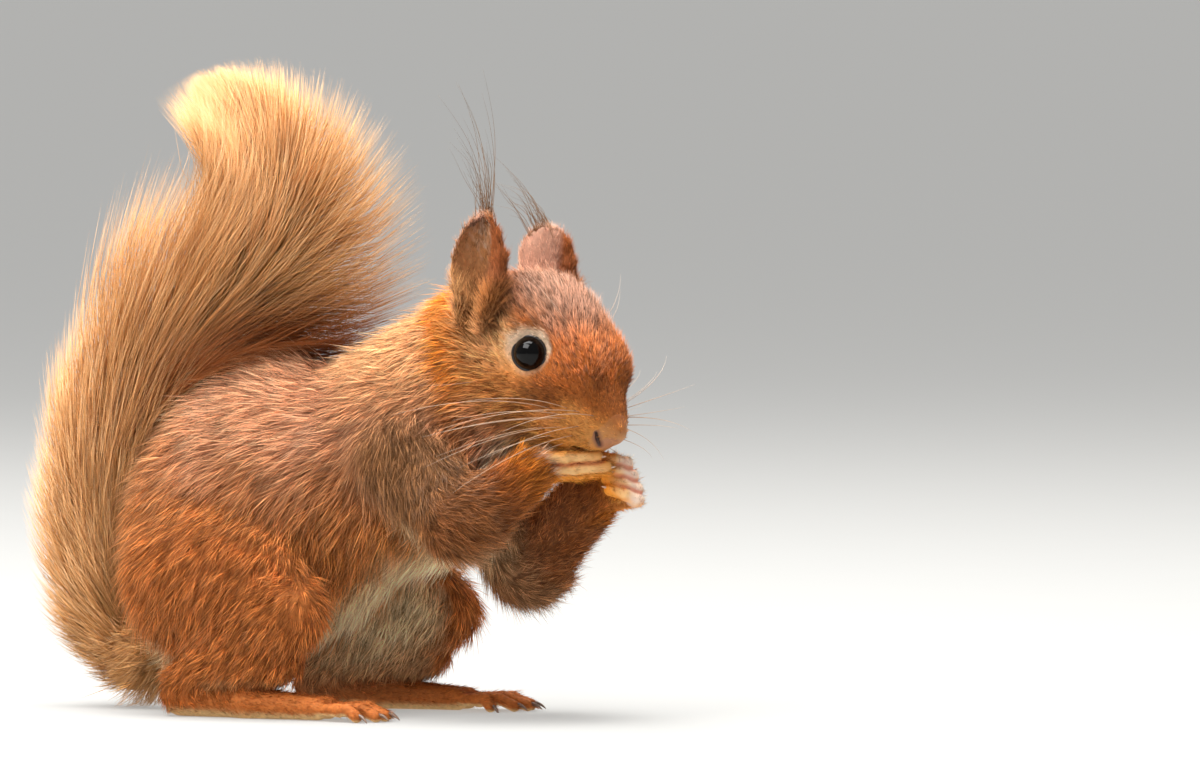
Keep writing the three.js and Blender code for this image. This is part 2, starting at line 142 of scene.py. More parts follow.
headTurn = turnMatrix((headPose["tilt"], headPose["nod"], headPose["turn"]))
noseTip = np.float32(headPose["nose"])


def inHead(p):
    return headTurn @ np.float32(p) + noseTip


# the rim and nostrilShade colours are painted shade round and in the nostrils
nosePad = {"at": (-3.0, 0, 1.0), "half": (3.9, 4.0, 3.7), "reach": 8.8,
           "nostril": ((-1.7, 3.3, -3.2), (-2.1, 4.1, -2.4), (-2.7, 5.4, -1.2), (-3.3, 6.4, 0.1)),
           "thick": (0.24, 0.36, 0.48, 0.3), "pad": (-0.6, 0, -1.6), "padHalf": (2.8, 4.4, 3.0),
           "middle": (-1.6, 0, -0.8), "room": 9.4, "cell": 0.26, "rim": (112, 62, 40),
           "nostrilShade": (66, 32, 18)}


def toHead(p):
    return (p - noseTip) @ headTurn


low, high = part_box("eye_right")
shift = (np.array(low) + np.array(high)) * 500 - inHead(flipped(eyeShape["at"], -1))


def toScene(p):
    return (np.asarray(p) + shift) * 0.001


# Fields: each takes points as rows and gives a distance that is negative inside.
def cone(a, b, ra, rb, squeeze=1.0):
    flat = np.float32((1, squeeze, 1))
    a = np.float32(a)
    way = (np.float32(b) - a) * flat
    length = float(way @ way)

    def field(p):
        q = (p - a) * flat
        t = np.clip(q @ way / length, 0, 1)
        return np.linalg.norm(q - t[:, None] * way, axis=1) - (ra + (rb - ra) * t)
    return field


def chain(points, radii, squeeze=1.0):
    return [cone(a, b, ra, rb, squeeze) for a, b, ra, rb in zip(points, points[1:], radii, radii[1:])]


def egg(at, half, turn=None, origin=None):
    half = np.float32(half)
    at = np.float32(at)

    def field(p):
        q = ((p if turn is None else (p - origin) @ turn) - at) / half
        k = np.linalg.norm(q, axis=1)
        return k * (k - 1) / np.maximum(np.linalg.norm(q / half, axis=1), 1e-6)
    return field


def ball(at, r):
    at = np.float32(at)
    return lambda p: np.linalg.norm(p - at, axis=1) - r


def blend(k, *fields):
    def field(p):
        total = fields[0](p)
        for other in fields[1:]:
            d = other(p)
            total = np.minimum(total, d) - np.maximum(k - np.abs(total - d), 0) ** 2 / (4 * k)
        return total
    return field


def united(*fields):
    return lambda p: np.minimum.reduce([f(p) for f in fields])


def hollowed(k, body, cut):
    def field(p):
        a, b = body(p), -cut(p)
        return np.maximum(a, b) + np.maximum(k - np.abs(a - b), 0) ** 2 / (4 * k)
    return field


farOff = 9.0  # what a field of small things reads beyond its reach


def near(field, at, reach):
    # a field of small things, worked out only for the points within reach of them
    at = np.float32(at)

    def local(p):
        out = np.full(len(p), farOff, np.float32)
        close = dot(p - at, p - at) < reach * reach
        if close.any():
            out[close] = field(p[close])
        return out
    return local


def skullEgg(at, half, depth):
    return egg(at, np.float32(half) - depth, headTurn, noseTip)


def skullCone(a, b, ra, rb):
    return cone(inHead(a), inHead(b), ra, rb)


def makeSkull():
    d = coatDepth
    masses = [
        skullCone((-21, 0, 3.2), (-5.8, 0, 0.2), 12.2 - d["face"], 6.3 - d["muzzle"]),
        skullCone((-24, 0, -8.2), (-8.2, 0, -6.2), 11 - d["cheek"], 5.6 - d["muzzle"]),
    ]
    for s in sides.values():
        masses += [
            skullEgg((-36, s * 5.4, 5.2), (20.5, 13.4, 17.4), d["skull"]),
            skullEgg((-36, s * 9.5, -4), (14, 8.6, 11), d["cheek"]),
            skullEgg((-21.6, s * 7.4, 7.4), (12, 9, 11), d["face"]),
            skullEgg((-11.6, s * 5, 0.2), (8.7, 5.8, 7.2), d["muzzle"]),
            skullEgg((-17, s * 5.4, -7.4), (10, 6.6, 7.0), d["cheek"] * 0.7),
        ]
    return blend(5, *masses)


def makeOrbits():
    bowls = []
    for s in sides.values():
        look = flipped(unit(eyeShape["look"]), s)
        at = flipped(eyeShape["at"], s) + look * (eyeShape["bowlLevel"] + eyeShape["bowlRadius"])
        bowls.append(ball(inHead(at), eyeShape["bowlRadius"]))
    return united(*bowls)


def makeMouth():
    # the slit of the lips, from under the nose back to both corners
    cuts = []
    for s in sides.values():
        path = [(-1.5, 0, -5.2), (-5.5, s * 4.2, -7.2), (-11, s * 7.2, -7.8), (-16.5, s * 9.2, -6.2)]
        cuts += [skullCone(a, b, 0.75, 0.75) for a, b in zip(path, path[1:])]
    cuts.append(skullCone((1.6, 0, -1.5), (0, 0, -5.5), 0.4, 0.5))
    return near(united(*cuts, makeNostrils(0.3)), inHead((-9, 0, -6)), 22)


def makeNostrils(wider):
    cuts = []
    for s in sides.values():
        spots = [inHead(flipped(p, s)) for p in nosePad["nostril"]]
        cuts += chain(spots, [r + wider for r in nosePad["thick"]])
    return united(*cuts)


def digits(root, knuckle, tip, r, lift):
    # one finger or toe in two lengths, its middle joint lifted a little
    bendAt = mix(knuckle, tip, 0.5) + lift
    return [cone(root, knuckle, r * 0.95, r), cone(knuckle, bendAt, r, r * 0.9),
            cone(bendAt, tip, r * 0.9, r * 0.92)]


def handParts(side):
    arm = armShape[side]
    wrist, knuckles, tips = (np.float32(arm[k]) for k in ("wrist", "knuckles", "tips"))
    way = unit(knuckles - wrist)
    spread = np.float32(arm["spread"])
    wide = unit(spread - way * dot(spread, way))
    bend = -np.cross(way, wide) * sides[side]
    fingers = []
    pitch = arm["pitch"]
    curl = -unit(np.cross(unit(tips - knuckles), wide)) * sides[side]
    # the last fingers wrap round under the palm
    for i, wrap in arm["fingers"]:
        tip = mix(knuckles, tips, 1 - 0.05 * i * i) + wide * i * pitch * 0.9 + curl * 0.5 + bend * wrap
        fingers.append({"root": mix(wrist, knuckles, 0.5) + wide * i * pitch * 0.7,
                        "knuckle": knuckles + wide * i * pitch + bend * wrap,
                        "tip": tip, "r": arm["thick"], "lift": -curl * 0.9, "claw": 2.2, "down": curl})
    root = mix(wrist, knuckles, 0.45) - wide * 3
    fingers.append({"root": root, "knuckle": root - wide * 1.4 + way, "tip": root - wide * 2.4 + way * 2.6,
                    "r": 1.0, "lift": bend * 0, "claw": 0.9, "down": bend})
    return wrist, knuckles, wide, bend, fingers


def footParts(side):
    leg = legShape[side]
    ankle, toes = np.float32(leg["ankle"]), np.float32(leg["toes"])

    def at(t, y, z):
        p = mix(ankle, toes, t)
        return np.float32((p[0], p[1] + y, z))
    toeList = []
    for i in (-2, -1, 0, 1, 2):
        t = 1.24 - 0.03 * i * i + 0.012 * i * sides[side]
        toeList.append({"root": at(0.8, i * 2.1, 3), "knuckle": at(1.02, i * 3.2, 3.1),
                        "tip": at(t, i * 4.2, 1.6), "r": 1.7, "lift": np.float32((0, 0, 1.0)),
                        "claw": 4.2, "down": np.float32((0, 0, -1))})
    return at, toeList


def handField(side):
    wrist, knuckles, wide, _, fingers = handParts(side)
    palm = [cone(mix(wrist, knuckles, 0.05) + wide * w, mix(wrist, knuckles, 0.8) + wide * w * 2.0, 3.6, 2.2)
            for w in (-1.6, 0, 1.6)]
    tubes = [blend(0.8, *digits(f["root"], f["knuckle"], f["tip"], f["r"], f["lift"])) for f in fingers]
    return near(blend(0.45, blend(3, *palm), *tubes), knuckles, 21)


def footField(side):
    at, toeList = footParts(side)
    sole = blend(3, cone(at(-0.02, 0, 5.0), at(0.4, 0, 4.2), 5.0, 4.3),
                 cone(at(0.4, -1.4, 3.8), at(0.86, -3.2, 3.1), 3.8, 3.0),
                 cone(at(0.4, 1.4, 3.8), at(0.86, 3.2, 3.1), 3.8, 3.0))
    tubes = [blend(0.8, *digits(f["root"], f["knuckle"], f["tip"], f["r"], f["lift"])) for f in toeList]
    return near(blend(0.9, sole, *tubes), at(0.55, 0, 4), 42)


def earFrame(side):
    sign = sides[side]
    root = inHead(flipped(earShape["root"], sign))
    rise = inHead(flipped(earShape["tip"][side], sign)) - root
    length = float(np.linalg.norm(rise))
    rise = rise / length
    toNose = headTurn @ np.float32((1, 0, 0))
    wide = unit(toNose - rise * dot(toNose, rise))
    out = unit(np.cross(wide, rise)) * -sign
    ahead, aside = earShape["facing"][side]
    across = unit(wide * aside - out * ahead)
    opening = unit(wide * ahead + out * aside)
    return root, rise, length, across, opening


def earOutline(t, side):
    full = 0.55 + 0.45 * ramp(-0.1, 0.42, t)
    return earShape["wide"] * full * (1 - np.clip((t - 0.3) / 0.72, 0, 1) ** earShape["blunt"][side])


def earField(side):
    root, rise, length, across, opening = earFrame(side)
    cupDepth = earShape["cup"][side]

    def field(p):
        q = p - root
        t = q @ rise / length
        x = q @ across
        half = np.maximum(earOutline(t, side), 0.05)
        cup = cupDepth * (1 - 0.55 * np.clip(t, 0, 1)) * np.minimum((x / half) ** 2, 1.2)
        shell = np.abs(q @ opening - cup) - earShape["wall"] * (1.25 - 0.45 * np.clip(t, 0, 1))
        edge = np.maximum(np.abs(x) - half, (t - 0.985) * length)
        return np.maximum(shell * 0.8, np.maximum(edge, (-0.25 - t) * length))
    # the front edge is turned over into a furry roll, wide at the root of the ear
    spots, radii = [], []
    for t, r in earShape["roll"]:
        half = float(earOutline(np.float32(t), side))
        lift = cupDepth * (1 - 0.55 * t) * 0.62
        spots.append(root + rise * length * t + across * (half * 0.8 + 1.0 - t) + opening * lift)
        radii.append(r - 0.5)
    return near(blend(1.2, field, *chain(spots, radii)), root + rise * length * 0.45, 24)


regions = {}
regions["skull"] = makeSkull()
regions["neck"] = blend(8, *(cone(a, b, ra - coatDepth[k], rb - coatDepth[k])
                             for k, (a, b, ra, rb) in neckShape.items()))
regions["torso"] = blend(12, *(egg(at, np.float32(half) - coatDepth["torso"])
                               for at, half in bodyShape.values()))
for side in sides:
    arm, leg = armShape[side], legShape[side]
    r = arm["radii"]
    regions["upperArm." + side] = cone(arm["shoulder"], arm["elbow"], r[0] - coatDepth["upperArm"],
                                       r[1] - coatDepth["upperArm"] * 0.8)
    regions["forearm." + side] = cone(arm["elbow"], arm["wrist"], r[1] - coatDepth["upperArm"] * 0.8,
                                      r[2] - coatDepth["wrist"])
    calf = mix(leg["knee"], leg["ankle"], 0.4) + np.float32((2, 0, -5))
    regions["thigh." + side] = blend(10, egg(leg["thigh"], np.float32(leg["half"]) - coatDepth["thigh"]),
                                     cone(leg["hip"], leg["knee"], 17 - coatDepth["thigh"],
                                          11 - coatDepth["thigh"]))
    regions["shank." + side] = blend(6, cone(leg["knee"], leg["ankle"], 10.5 - coatDepth["shank"], 6.4 - 1),
                                     egg(calf, np.float32((17, 8, 9.5)) - coatDepth["shank"]))
    regions["hand." + side] = handField(side)
    regions["foot." + side] = footField(side)
    regions["ear." + side] = earField(side)
regions["tail"] = blend(3, *chain(tailShape["bone"], tailShape["thick"]))

bySide = [[regions[k + side] for k in ("upperArm.", "forearm.", "hand.", "thigh.", "shank.", "foot.", "ear.")]
          for side in sides]
core = blend(8, blend(10, regions["torso"], blend(9, regions["neck"], regions["skull"])),
             *(s[i] for s in bySide for i in (0, 3)))
core = hollowed(2.5, core, makeOrbits())
core = blend(1.0, core, skullEgg(nosePad["at"], nosePad["half"], 0))
face = core
core = hollowed(0.6, blend(2.2, core, *(s[6] for s in bySide)), makeMouth())
limbs = []
for s in bySide:
    limbs += [blend(5, s[0], blend(2, s[1], s[2])), blend(5, s[3], blend(2.5, s[4], s[5]))]
skinField = united(blend(4, core, regions["tail"]), *limbs)
brushLean = turnMatrix((0, tailShape["lean"], 0))
brushField = blend(14, *chain(tailShape["line"], tailShape["reach"], tailShape["squeeze"]),
                   egg((0, 0, 0), tailShape["plumeHalf"], brushLean, np.float32(tailShape["plume"])))
print("masses ready")

skinGrid = {"low": (-102, -44, -1), "high": (76, 44, 172), "cell": 0.62, "coarse": 4}


class Lattice:
    # values of a field at even spacing, read back between the points
    def __init__(self, low, high, cell, values=None, field=None):
        self.low = np.float32(low)
        self.cell = cell
        self.size = np.ceil((np.float32(high) - self.low) / cell).astype(int) + 1
        self.values = values
        if field is not None:
            self.values = field(self.points().reshape(-1, 3)).reshape(self.size)

    def points(self):
        axes = [np.arange(n, dtype=np.float32) * self.cell + l for n, l in zip(self.size, self.low)]
        return np.stack(np.meshgrid(*axes, indexing="ij"), -1)

    def read(self, p):
        q = np.clip((p - self.low) / self.cell, 0, self.size - 1.001)
        i = q.astype(int)
        f = (q - i).astype(np.float32)
        total = np.zeros(len(p), np.float32)
        for c in range(8):
            step = np.array((c & 1, c >> 1 & 1, c >> 2 & 1))
            share = np.prod(np.where(step, f, 1 - f), axis=1)
            j = i + step
            total += share * self.values[j[:, 0], j[:, 1], j[:, 2]]
        return total

    def slope(self, p):
        h = self.cell * 0.6
        moves = np.eye(3, dtype=np.float32) * h
        return unit(np.stack([self.read(p + m) - self.read(p - m) for m in moves], -1))


def polygonise(field, low, high, cell, coarse):
    # the field is worked out coarsely, and finely only in a band beside its surface
    rough = Lattice(low, high, cell * coarse, field=field)
    fine = Lattice(low, high, cell, values=0)
    fine.size = (rough.size - 1) * coarse
    closest = np.abs(rough.values)
    for axis in range(3):
        closest = np.minimum(closest, np.roll(closest, -1, axis))
    band = (closest < cell * coarse * 0.9)[:-1, :-1, :-1]
    sign = np.where(rough.values[:-1, :-1, :-1] < 0, -1.0, 1.0).astype(np.float32) * 2 * cell
    values = sign.repeat(coarse, 0).repeat(coarse, 1).repeat(coarse, 2)
    cells = np.argwhere(band)
    steps = np.stack(np.meshgrid(*[np.arange(coarse)] * 3, indexing="ij"), -1).reshape(-1, 3)
    for part in np.array_split(cells, max(1, len(cells) // 4000)):
        where = (part[:, None] * coarse + steps).reshape(-1, 3)
        values[where[:, 0], where[:, 1], where[:, 2]] = field(where.astype(np.float32) * cell + fine.low)
    grid = openvdb.FloatGrid(2 * cell)
    grid.copyFromArray(np.clip(values, -2 * cell, 2 * cell))
    points, quads = grid.convertToQuads(0.0)
    points = points.astype(np.float32) * cell + fine.low
    triangles = np.concatenate((quads[:, (0, 1, 2)], quads[:, (0, 2, 3)]))
    return points, triangles.astype(np.int64)


def refined(points, tris, chosen):
    # every edge of the chosen triangles is cut in half, and their neighbours are closed up to them
    edges = np.sort(tris[:, ((0, 1), (1, 2), (2, 0))], axis=2)
    keys = edges[..., 0] * len(points) + edges[..., 1]
    split = np.unique(keys[chosen])
    at = np.searchsorted(split, keys).clip(max=len(split) - 1)
    cut = split[at] == keys
    middle = at + len(points)
    number = cut.sum(1)
    whole = number == 3
    (a, b, c), (d, e, f) = tris[whole].T, middle[whole].T
    made = [tris[number == 0].T, (a, d, f), (d, b, e), (f, e, c), (d, e, f)]
    for k in range(3):
        turned, middles = np.roll(tris, -k, 1), np.roll(middle, -k, 1)
        one = (number == 1) & cut[:, k]
        (a, b, c), d = turned[one].T, middles[one, 0]
        made += [(a, d, c), (d, b, c)]
        two = (number == 2) & ~cut[:, k]
        (a, b, c), (d, e) = turned[two].T, middles[two, 1:].T
        made += [(a, b, d), (a, d, e), (e, d, c)]
    between = (points[split // len(points)] + points[split % len(points)]) / 2
    return np.concatenate((points, between)), np.concatenate([np.stack(m, 1) for m in made])


def areaNormals(points, triangles):
    a, b, c = (points[triangles[:, i]] for i in range(3))
    return np.cross(b - a, c - a)


def pointNormals(points, triangles):
    flat = areaNormals(points, triangles)
    total = np.zeros_like(points)
    for i in range(3):
        np.add.at(total, triangles[:, i], flat)
    return unit(total)


def makeMesh(name, points, triangles, uv, colors):
    mesh = bpy.data.meshes.new(name)
    mesh.vertices.add(len(points))
    mesh.vertices.foreach_set("co", toScene(points).astype(np.float32).ravel())
    mesh.loops.add(triangles.size)
    mesh.loops.foreach_set("vertex_index", triangles.astype(np.int32).ravel())
    mesh.polygons.add(len(triangles))
    mesh.polygons.foreach_set("loop_start", np.arange(0, triangles.size, 3, dtype=np.int32))
    mesh.polygons.foreach_set("use_smooth", np.ones(len(triangles), bool))
    mesh.uv_layers.new(name="OFBake").data.foreach_set("uv", uv.astype(np.float32).ravel())
    for key, value in colors.items():
        rgba = np.concatenate((value, np.ones((len(points), 1))), 1).astype(np.float32)
        mesh.attributes.new(key, "FLOAT_COLOR", "POINT").data.foreach_set("color", rgba.ravel())
    mesh.update(calc_edges=True)
    mesh.validate()
    obj = bpy.data.objects.new(name, mesh)
    bpy.context.scene.collection.objects.link(obj)
    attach(obj, "root")
    return obj


skinPoints, skinTris = polygonise(skinField, **skinGrid)
room = ((-125, -62, -6), (92, 66, 190))
space = Lattice(*room, 1.5, field=skinField)
bodySpace = Lattice(*room, 2.5, field=core)


def finePlace(p):
    # the hands, ears, toes and lips, which are drawn twice as finely as the rest
    own = np.linalg.norm(p - inHead((-5, 0, -3)), axis=1) - 10.5
    for side in sides:
        own = np.minimum(own, np.minimum(regions["hand." + side](p) - 1.2, regions["ear." + side](p) - 0.3))
        toes = np.float32(legShape[side]["toes"])
        own = np.minimum(own, np.maximum(regions["foot." + side](p) - 1.2, toes[0] - p[:, 0] - 3))
    return own < 0


skinPoints, skinTris = refined(skinPoints, skinTris, finePlace(skinPoints[skinTris].mean(1)))
finely = finePlace(skinPoints)
for _ in range(3):
    p = skinPoints[finely]
    away = skinField(p)
    steep = np.stack([skinField(p + m) - away for m in np.eye(3, dtype=np.float32) * 0.12], -1) / 0.12
    skinPoints[finely] = p - steep * (np.clip(away, -0.4, 0.4) / np.maximum(dot(steep, steep), 0.3))[:, None]
skinPoints[:, 2] = np.maximum(skinPoints[:, 2], 0.0)
skinNormals = pointNormals(skinPoints, skinTris)
print("skin ready:", len(skinTris), "triangles")


# Where each part of the coat begins and ends: shares of the regions at a point, soft at their borders.
regionNames = list(regions)


def regionShares(p):
    d = np.stack([regions[k](p) for k in regionNames], 1)
    ears = [regionNames.index("ear." + s) for s in sides]
    d[:, ears] -= 1.0
    w = np.exp(-(d - d.min(1, keepdims=True)) / 2.2)
    w /= w.sum(1, keepdims=True)
    shares = {}
    for i, k in enumerate(regionNames):
        shares[k] = w[:, i]
    for k in ("upperArm", "forearm", "hand", "thigh", "shank", "foot", "ear"):
        shares[k] = shares[k + ".left"] + shares[k + ".right"]
    return shares


def paint(r, g, b):
    c = np.float32((r, g, b)) / 255
    return np.where(c <= 0.04045, c / 12.92, ((c + 0.055) / 1.055) ** 2.4).astype(np.float32)


coatColours = {
    "back": (236, 176, 138), "flank": (216, 138, 68), "rump": (212, 138, 78), "nape": (255, 196, 142),
    "neck": (255, 156, 46), "throat": (180, 124, 66), "belly": (255, 230, 184), "crown": (148, 114, 98),
    "brow": (164, 98, 30), "temple": (236, 176, 116), "face": (150, 78, 6), "cheek": (226, 148, 76),
    "cheekShade": (140, 76, 20), "muzzle": (208, 138, 64), "eyeRing": (252, 218, 186), "nose": (176, 116, 76),
    "arm": (160, 114, 72), "forearm": (166, 88, 28), "neckShade": (176, 106, 50), "groove": (208, 96, 62),
    "pinkSkinAndHighlight": (255, 230, 212), "bib": (255, 238, 208), "front": (172, 90, 16), "hand": (255, 160, 44),
    "digit": (255, 208, 144), "leg": (204, 122, 58), "foot": (206, 114, 46), "earBack": (196, 150, 128),
    "earFront": (130, 62, 4), "earSilver": (226, 206, 186), "earInside": (150, 100, 58),
    "earShade": (38, 20, 10), "tailFoldShade": (134, 60, 10), "tail": (204, 148, 88),
}
coatPaint = {k: paint(*v) for k, v in coatColours.items()}


def fingerGaps(side, p):
    # how far a point is from the nearest and the next nearest of the upper fingers,
    # and how far beyond the knuckles it lies
    wrist, knuckles, _, _, fingers = handParts(side)
    upper = [digits(f["root"], f["knuckle"], f["tip"], f["r"], f["lift"])
             for f in fingers[:2 if side == "right" else 4]]
    gaps = np.stack([np.minimum(bone(p), end(p)) for _, bone, end in upper])
    return np.sort(gaps, 0), (p - mix(knuckles, fingers[0]["knuckle"], 0.3)) @ unit(knuckles - wrist)


def aheadOfBand(p):
    # how far a point is ahead of the orange band that runs down the side of the neck
    return p[:, 0] - (18.4 + (107 - p[:, 2]) * 0.27)


def eyeDistance(p):
    return np.minimum.reduce([np.linalg.norm(toHead(p) - flipped(eyeShape["at"], s), axis=1)
                              for s in sides.values()])


def spotMask(q, at, reach, soft=0.5):
    # a soft round patch on both sides of the head
    q = q.copy()
    q[:, 1] = np.abs(q[:, 1])
    return ramp(reach, reach * soft, np.linalg.norm(q - np.float32(at), axis=1))


def lay(under, colour, mask):
    return under * (1 - mask[:, None]) + colour * mask[:, None]


def bibMask(p):
    # the pale patch between the arms
    return ramp(13, 7, np.linalg.norm(p - np.float32((36, -3, 70)), axis=1))


def torsoMarks(p, n, under):
    c = coatPaint
    mottle = ripple(p, 9, 5) * 0.5 + 0.5
    torso = lay(c["flank"][None], c["back"],
                ramp(48, 82, p[:, 2] + 5 * ripple(p, 20, 1)) * (0.75 + 0.25 * mottle))
    torso = lay(torso, c["rump"], ramp(-45, -70, p[:, 0]) * 0.7)
    middle = ramp(13, 7, np.abs(p[:, 1]) + 1.5 * ripple(p, 9, 2))
    front = middle * ramp(-0.2, -0.6, n[:, 2]) + middle * ramp(0.5, 0.9, n[:, 0]) * ramp(80, 70, p[:, 2])
    torso = lay(torso, c["belly"], np.clip(np.maximum(under, front), 0, 1))
    bib = bibMask(p)
    torso = lay(torso, c["bib"], bib)
    collar = ramp(7, 2, np.abs(aheadOfBand(p)))
    return lay(torso, c["neckShade"], collar * ramp(66, 78, p[:, 2]) * (1 - bib) * 0.8)


def neckMarks(p, n):
    c = coatPaint
    band = aheadOfBand(p) + 1.5 * ripple(p, 12, 16)
    neck = lay(c["neck"][None], c["nape"], ramp(1, -3, band))
    neck = lay(neck, c["cheek"], ramp(4, 9, band) * 0.6)
    neck = lay(neck, c["neckShade"], ramp(96, 80, p[:, 2]) * 0.75)
    neck = lay(neck, c["throat"], ramp(10, 5, np.abs(p[:, 1] + 1)) * ramp(-0.3, -0.7, n[:, 2]))
    return lay(neck, c["bib"], bibMask(p))


def headMarks(p, n):
    c = coatPaint
    q = toHead(p)
    nh = n @ headTurn
    face = lay(c["cheek"][None], c["face"], ramp(-31, -22, q[:, 0]) * ramp(-6, 2, q[:, 2]))
    face = lay(face, c["front"], ramp(2, 8, q[:, 2]) * ramp(-6, -14, q[:, 0]))
    face = lay(face, c["crown"],
               ramp(10, 18, q[:, 2] + 1.5 * ripple(p, 8, 4)) * ramp(-18, -32, q[:, 0]) * 0.9)
    face = lay(face, c["temple"], spotMask(q, (-42, 12, 1), 14) * 0.9)
    face = lay(face, c["brow"], spotMask(q, (-35, 9, 12), 8) * 0.6)
    face = lay(face, c["muzzle"], ramp(-17, -11, q[:, 0] + 0.8 * ripple(p, 5, 7)) * ramp(6, 1, q[:, 2]))
    # painted shade: a darker spot in the hollow of the cheek behind the whisker pad
    face = lay(face, c["cheekShade"], spotMask(q, (-19.5, 10.5, -2), 6.5, 0.2) * 0.6)
    chin = ramp(-0.5, -0.85, nh[:, 2]) * ramp(-5, -8, q[:, 2])
    face = lay(face, c["throat"], np.clip(chin, 0, 1) * ramp(12, 8, np.abs(q[:, 1])))
    over = ramp(-5, 5, q[:, 2] - eyeShape["at"][2] - (q[:, 0] - eyeShape["at"][0]) * 0.6)
    ring = eyeDistance(p) + 0.4 * ripple(p, 5, 6) - 1.3 * over
    face = lay(face, c["eyeRing"], ramp(7.4, 5.6, ring) * (0.25 + 0.75 * over))
    return lay(face, c["nose"], ramp(0.8, -0.8, egg(nosePad["pad"], nosePad["padHalf"])(q)))


def earMarks(p, n, shares):
    # how much of each mark both ears together carry at a point, and then the colours
    c = coatPaint
    rolled, cupShade, upper, base, behind, inner, slit = np.zeros((7, len(p)), np.float32)
    for side in sides:
        root, rise, length, across, opening = earFrame(side)
        own = shares["ear." + side]
        t = (p - root) @ rise / length
        over = (p - root) @ across / earShape["wide"]
        edge = 0.0 if side == "right" else 0.4
        inner += own * ramp(-0.1, 0.4, n @ opening) * ramp(0.45, 0.15, over)
        rolled += own * ramp(edge, edge + 0.35, over)
        cupShade += own * ramp(0.34, 0.1, t) * ramp(-0.35, -0.05, over)
        behind += own * ramp(0.42, 0.2, t + 0.3 * (over + 0.6)) * ramp(-0.1, -0.4, over)
        upper += own * ramp(0.5, 0.9, t + 0.15 * ripple(p, 3, 14)) * ramp(-0.8, 0.2, over)
        base += own * ramp(0.36, 0.08, t)
        slit += (ramp(0.34, 0.24, t) * ramp(0.3, 0.14, np.abs(over - 0.5 * t + 0.05))
                 * ramp(0.2, 0.5, own) * ramp(0, 0.4, n @ opening))
    ear = lay(c["earBack"][None], c["earFront"], np.clip(rolled, 0, 1))
    # painted shade: the cheek colour at half strength darkens the hair round the root of each ear
    ear = lay(ear, c["cheek"] * 0.5, np.clip(base, 0, 1) * 0.8)
    flecks = (0.3 + 0.35 * ripple(p, 2, 15)).clip(0, 1)
    inside = lay(c["earInside"][None], c["earSilver"], np.clip(upper, 0, 1) * flecks)
    inside = lay(inside, c["temple"] * 0.7, np.clip(behind, 0, 1))
    # painted shade: the bottom of the ear cup is darkened almost to black
    inside = lay(inside, c["earShade"], np.clip(cupShade, 0, 1) * 0.85)
    ear = lay(ear, inside, np.clip(inner / np.maximum(shares["ear"], 1e-3), 0, 1))
    # painted shade: the slit at the bottom of the opening is near black
    return lay(ear, c["earShade"], np.clip(slit, 0, 1) * 0.95)


def handMarks(side, p, n):
    # bare pink knuckles with a painted highlight on them, and pale fingers with darker grooves between them
    c = coatPaint
    _, _, wide, bend, fingers = handParts(side)
    gaps, along = fingerGaps(side, p)
    beyond = ramp(-2.4, 0.4, along)
    knuckle = np.minimum.reduce([np.linalg.norm(p - f["knuckle"], axis=1) for f in fingers[:4]])
    onEdge = ramp(0.3, 0.8, np.abs(n @ wide))
    hand = lay(c["hand"][None], c["digit"], beyond * ramp(1.0, 0.1, gaps[0]) * (0.9 - 0.75 * onEdge))
    hand = lay(hand, c["hand"] * 0.7, ramp(9, 14, along) * 0.6)
    hand = lay(hand, c["forearm"], ramp(0.2, 0.8, n @ bend) * ramp(0.2, 1.2, gaps[0]) * 0.7)
    # partly bare pink skin, partly a painted highlight on the knuckles
    hand = lay(hand, c["pinkSkinAndHighlight"], ramp(5.4, 2.0, knuckle) * ramp(1.2, 0.3, gaps[0]) * (0.9 - 0.5 * onEdge))
    return lay(hand, c["groove"], ramp(1.5, 0.4, gaps[1]) * beyond * 0.7)


def markings(p, n, shares):
    # the colour of the coat at a point whose outward direction is n
    c = coatPaint
    under = ramp(-0.62, -0.95, n[:, 2] + 0.12 * ripple(p, 14, 3))
    inward = np.where(p[:, 1] < 0, n[:, 1], -n[:, 1])
    pale = np.maximum(under, ramp(0.55, 0.9, inward)) * 0.7
    marks = {
        "torso": torsoMarks(p, n, under),
        "neck": neckMarks(p, n),
        "skull": headMarks(p, n),
        "ear": earMarks(p, n, shares),
        "upperArm": lay(c["arm"][None], c["belly"], pale * 0.45),
        "forearm": lay(c["forearm"][None], c["belly"], pale * 0.1),
        "thigh": lay(c["leg"][None], c["belly"], np.maximum(under * 0.6, ramp(0.6, 0.95, inward))),
        "shank": lay(c["leg"][None], c["belly"], pale * 0.5),
        "foot": lay(c["foot"][None], c["digit"], ramp(-0.3, -0.8, n[:, 2])),
    }
    for side in sides:
        marks["hand." + side] = handMarks(side, p, n)
    marks["tail"] = c["tail"]
    total = np.zeros((len(p), 3), np.float32)
    for k, colour in marks.items():
        total = total + shares[k][:, None] * colour
    return np.clip(total, 0, 1)


def paleTips(p, shares):
    # how far the tips of the hairs fade towards silver: partly the hairs' own pale tips, partly painted sheen
    # on the back and head, and a painted highlight on the near upper arm
    fade = {"torso": 0.34, "neck": 0.14, "skull": 0.05, "upperArm": 0.3, "forearm": 0.1, "thigh": 0.2,
            "shank": 0.1, "hand": 0.05, "foot": 0.05, "ear": 0.03, "tail": 0.3}
    total = sum(shares[k] * v for k, v in fade.items())
    q = toHead(p)
    # painted sheen: paler tips over the top of the head
    brow = shares["skull"] * ramp(5, 12, q[:, 2]) * 0.16
    # painted highlight: a patch of paler tips on the near upper arm
    paintedSheen = ramp(15, 5, np.linalg.norm(p - np.float32((27, -27, 66)), axis=1)) * 0.4
    return np.clip((total + brow + paintedSheen) * (1 + 0.35 * ripple(p, 12, 8)), 0, 0.9)


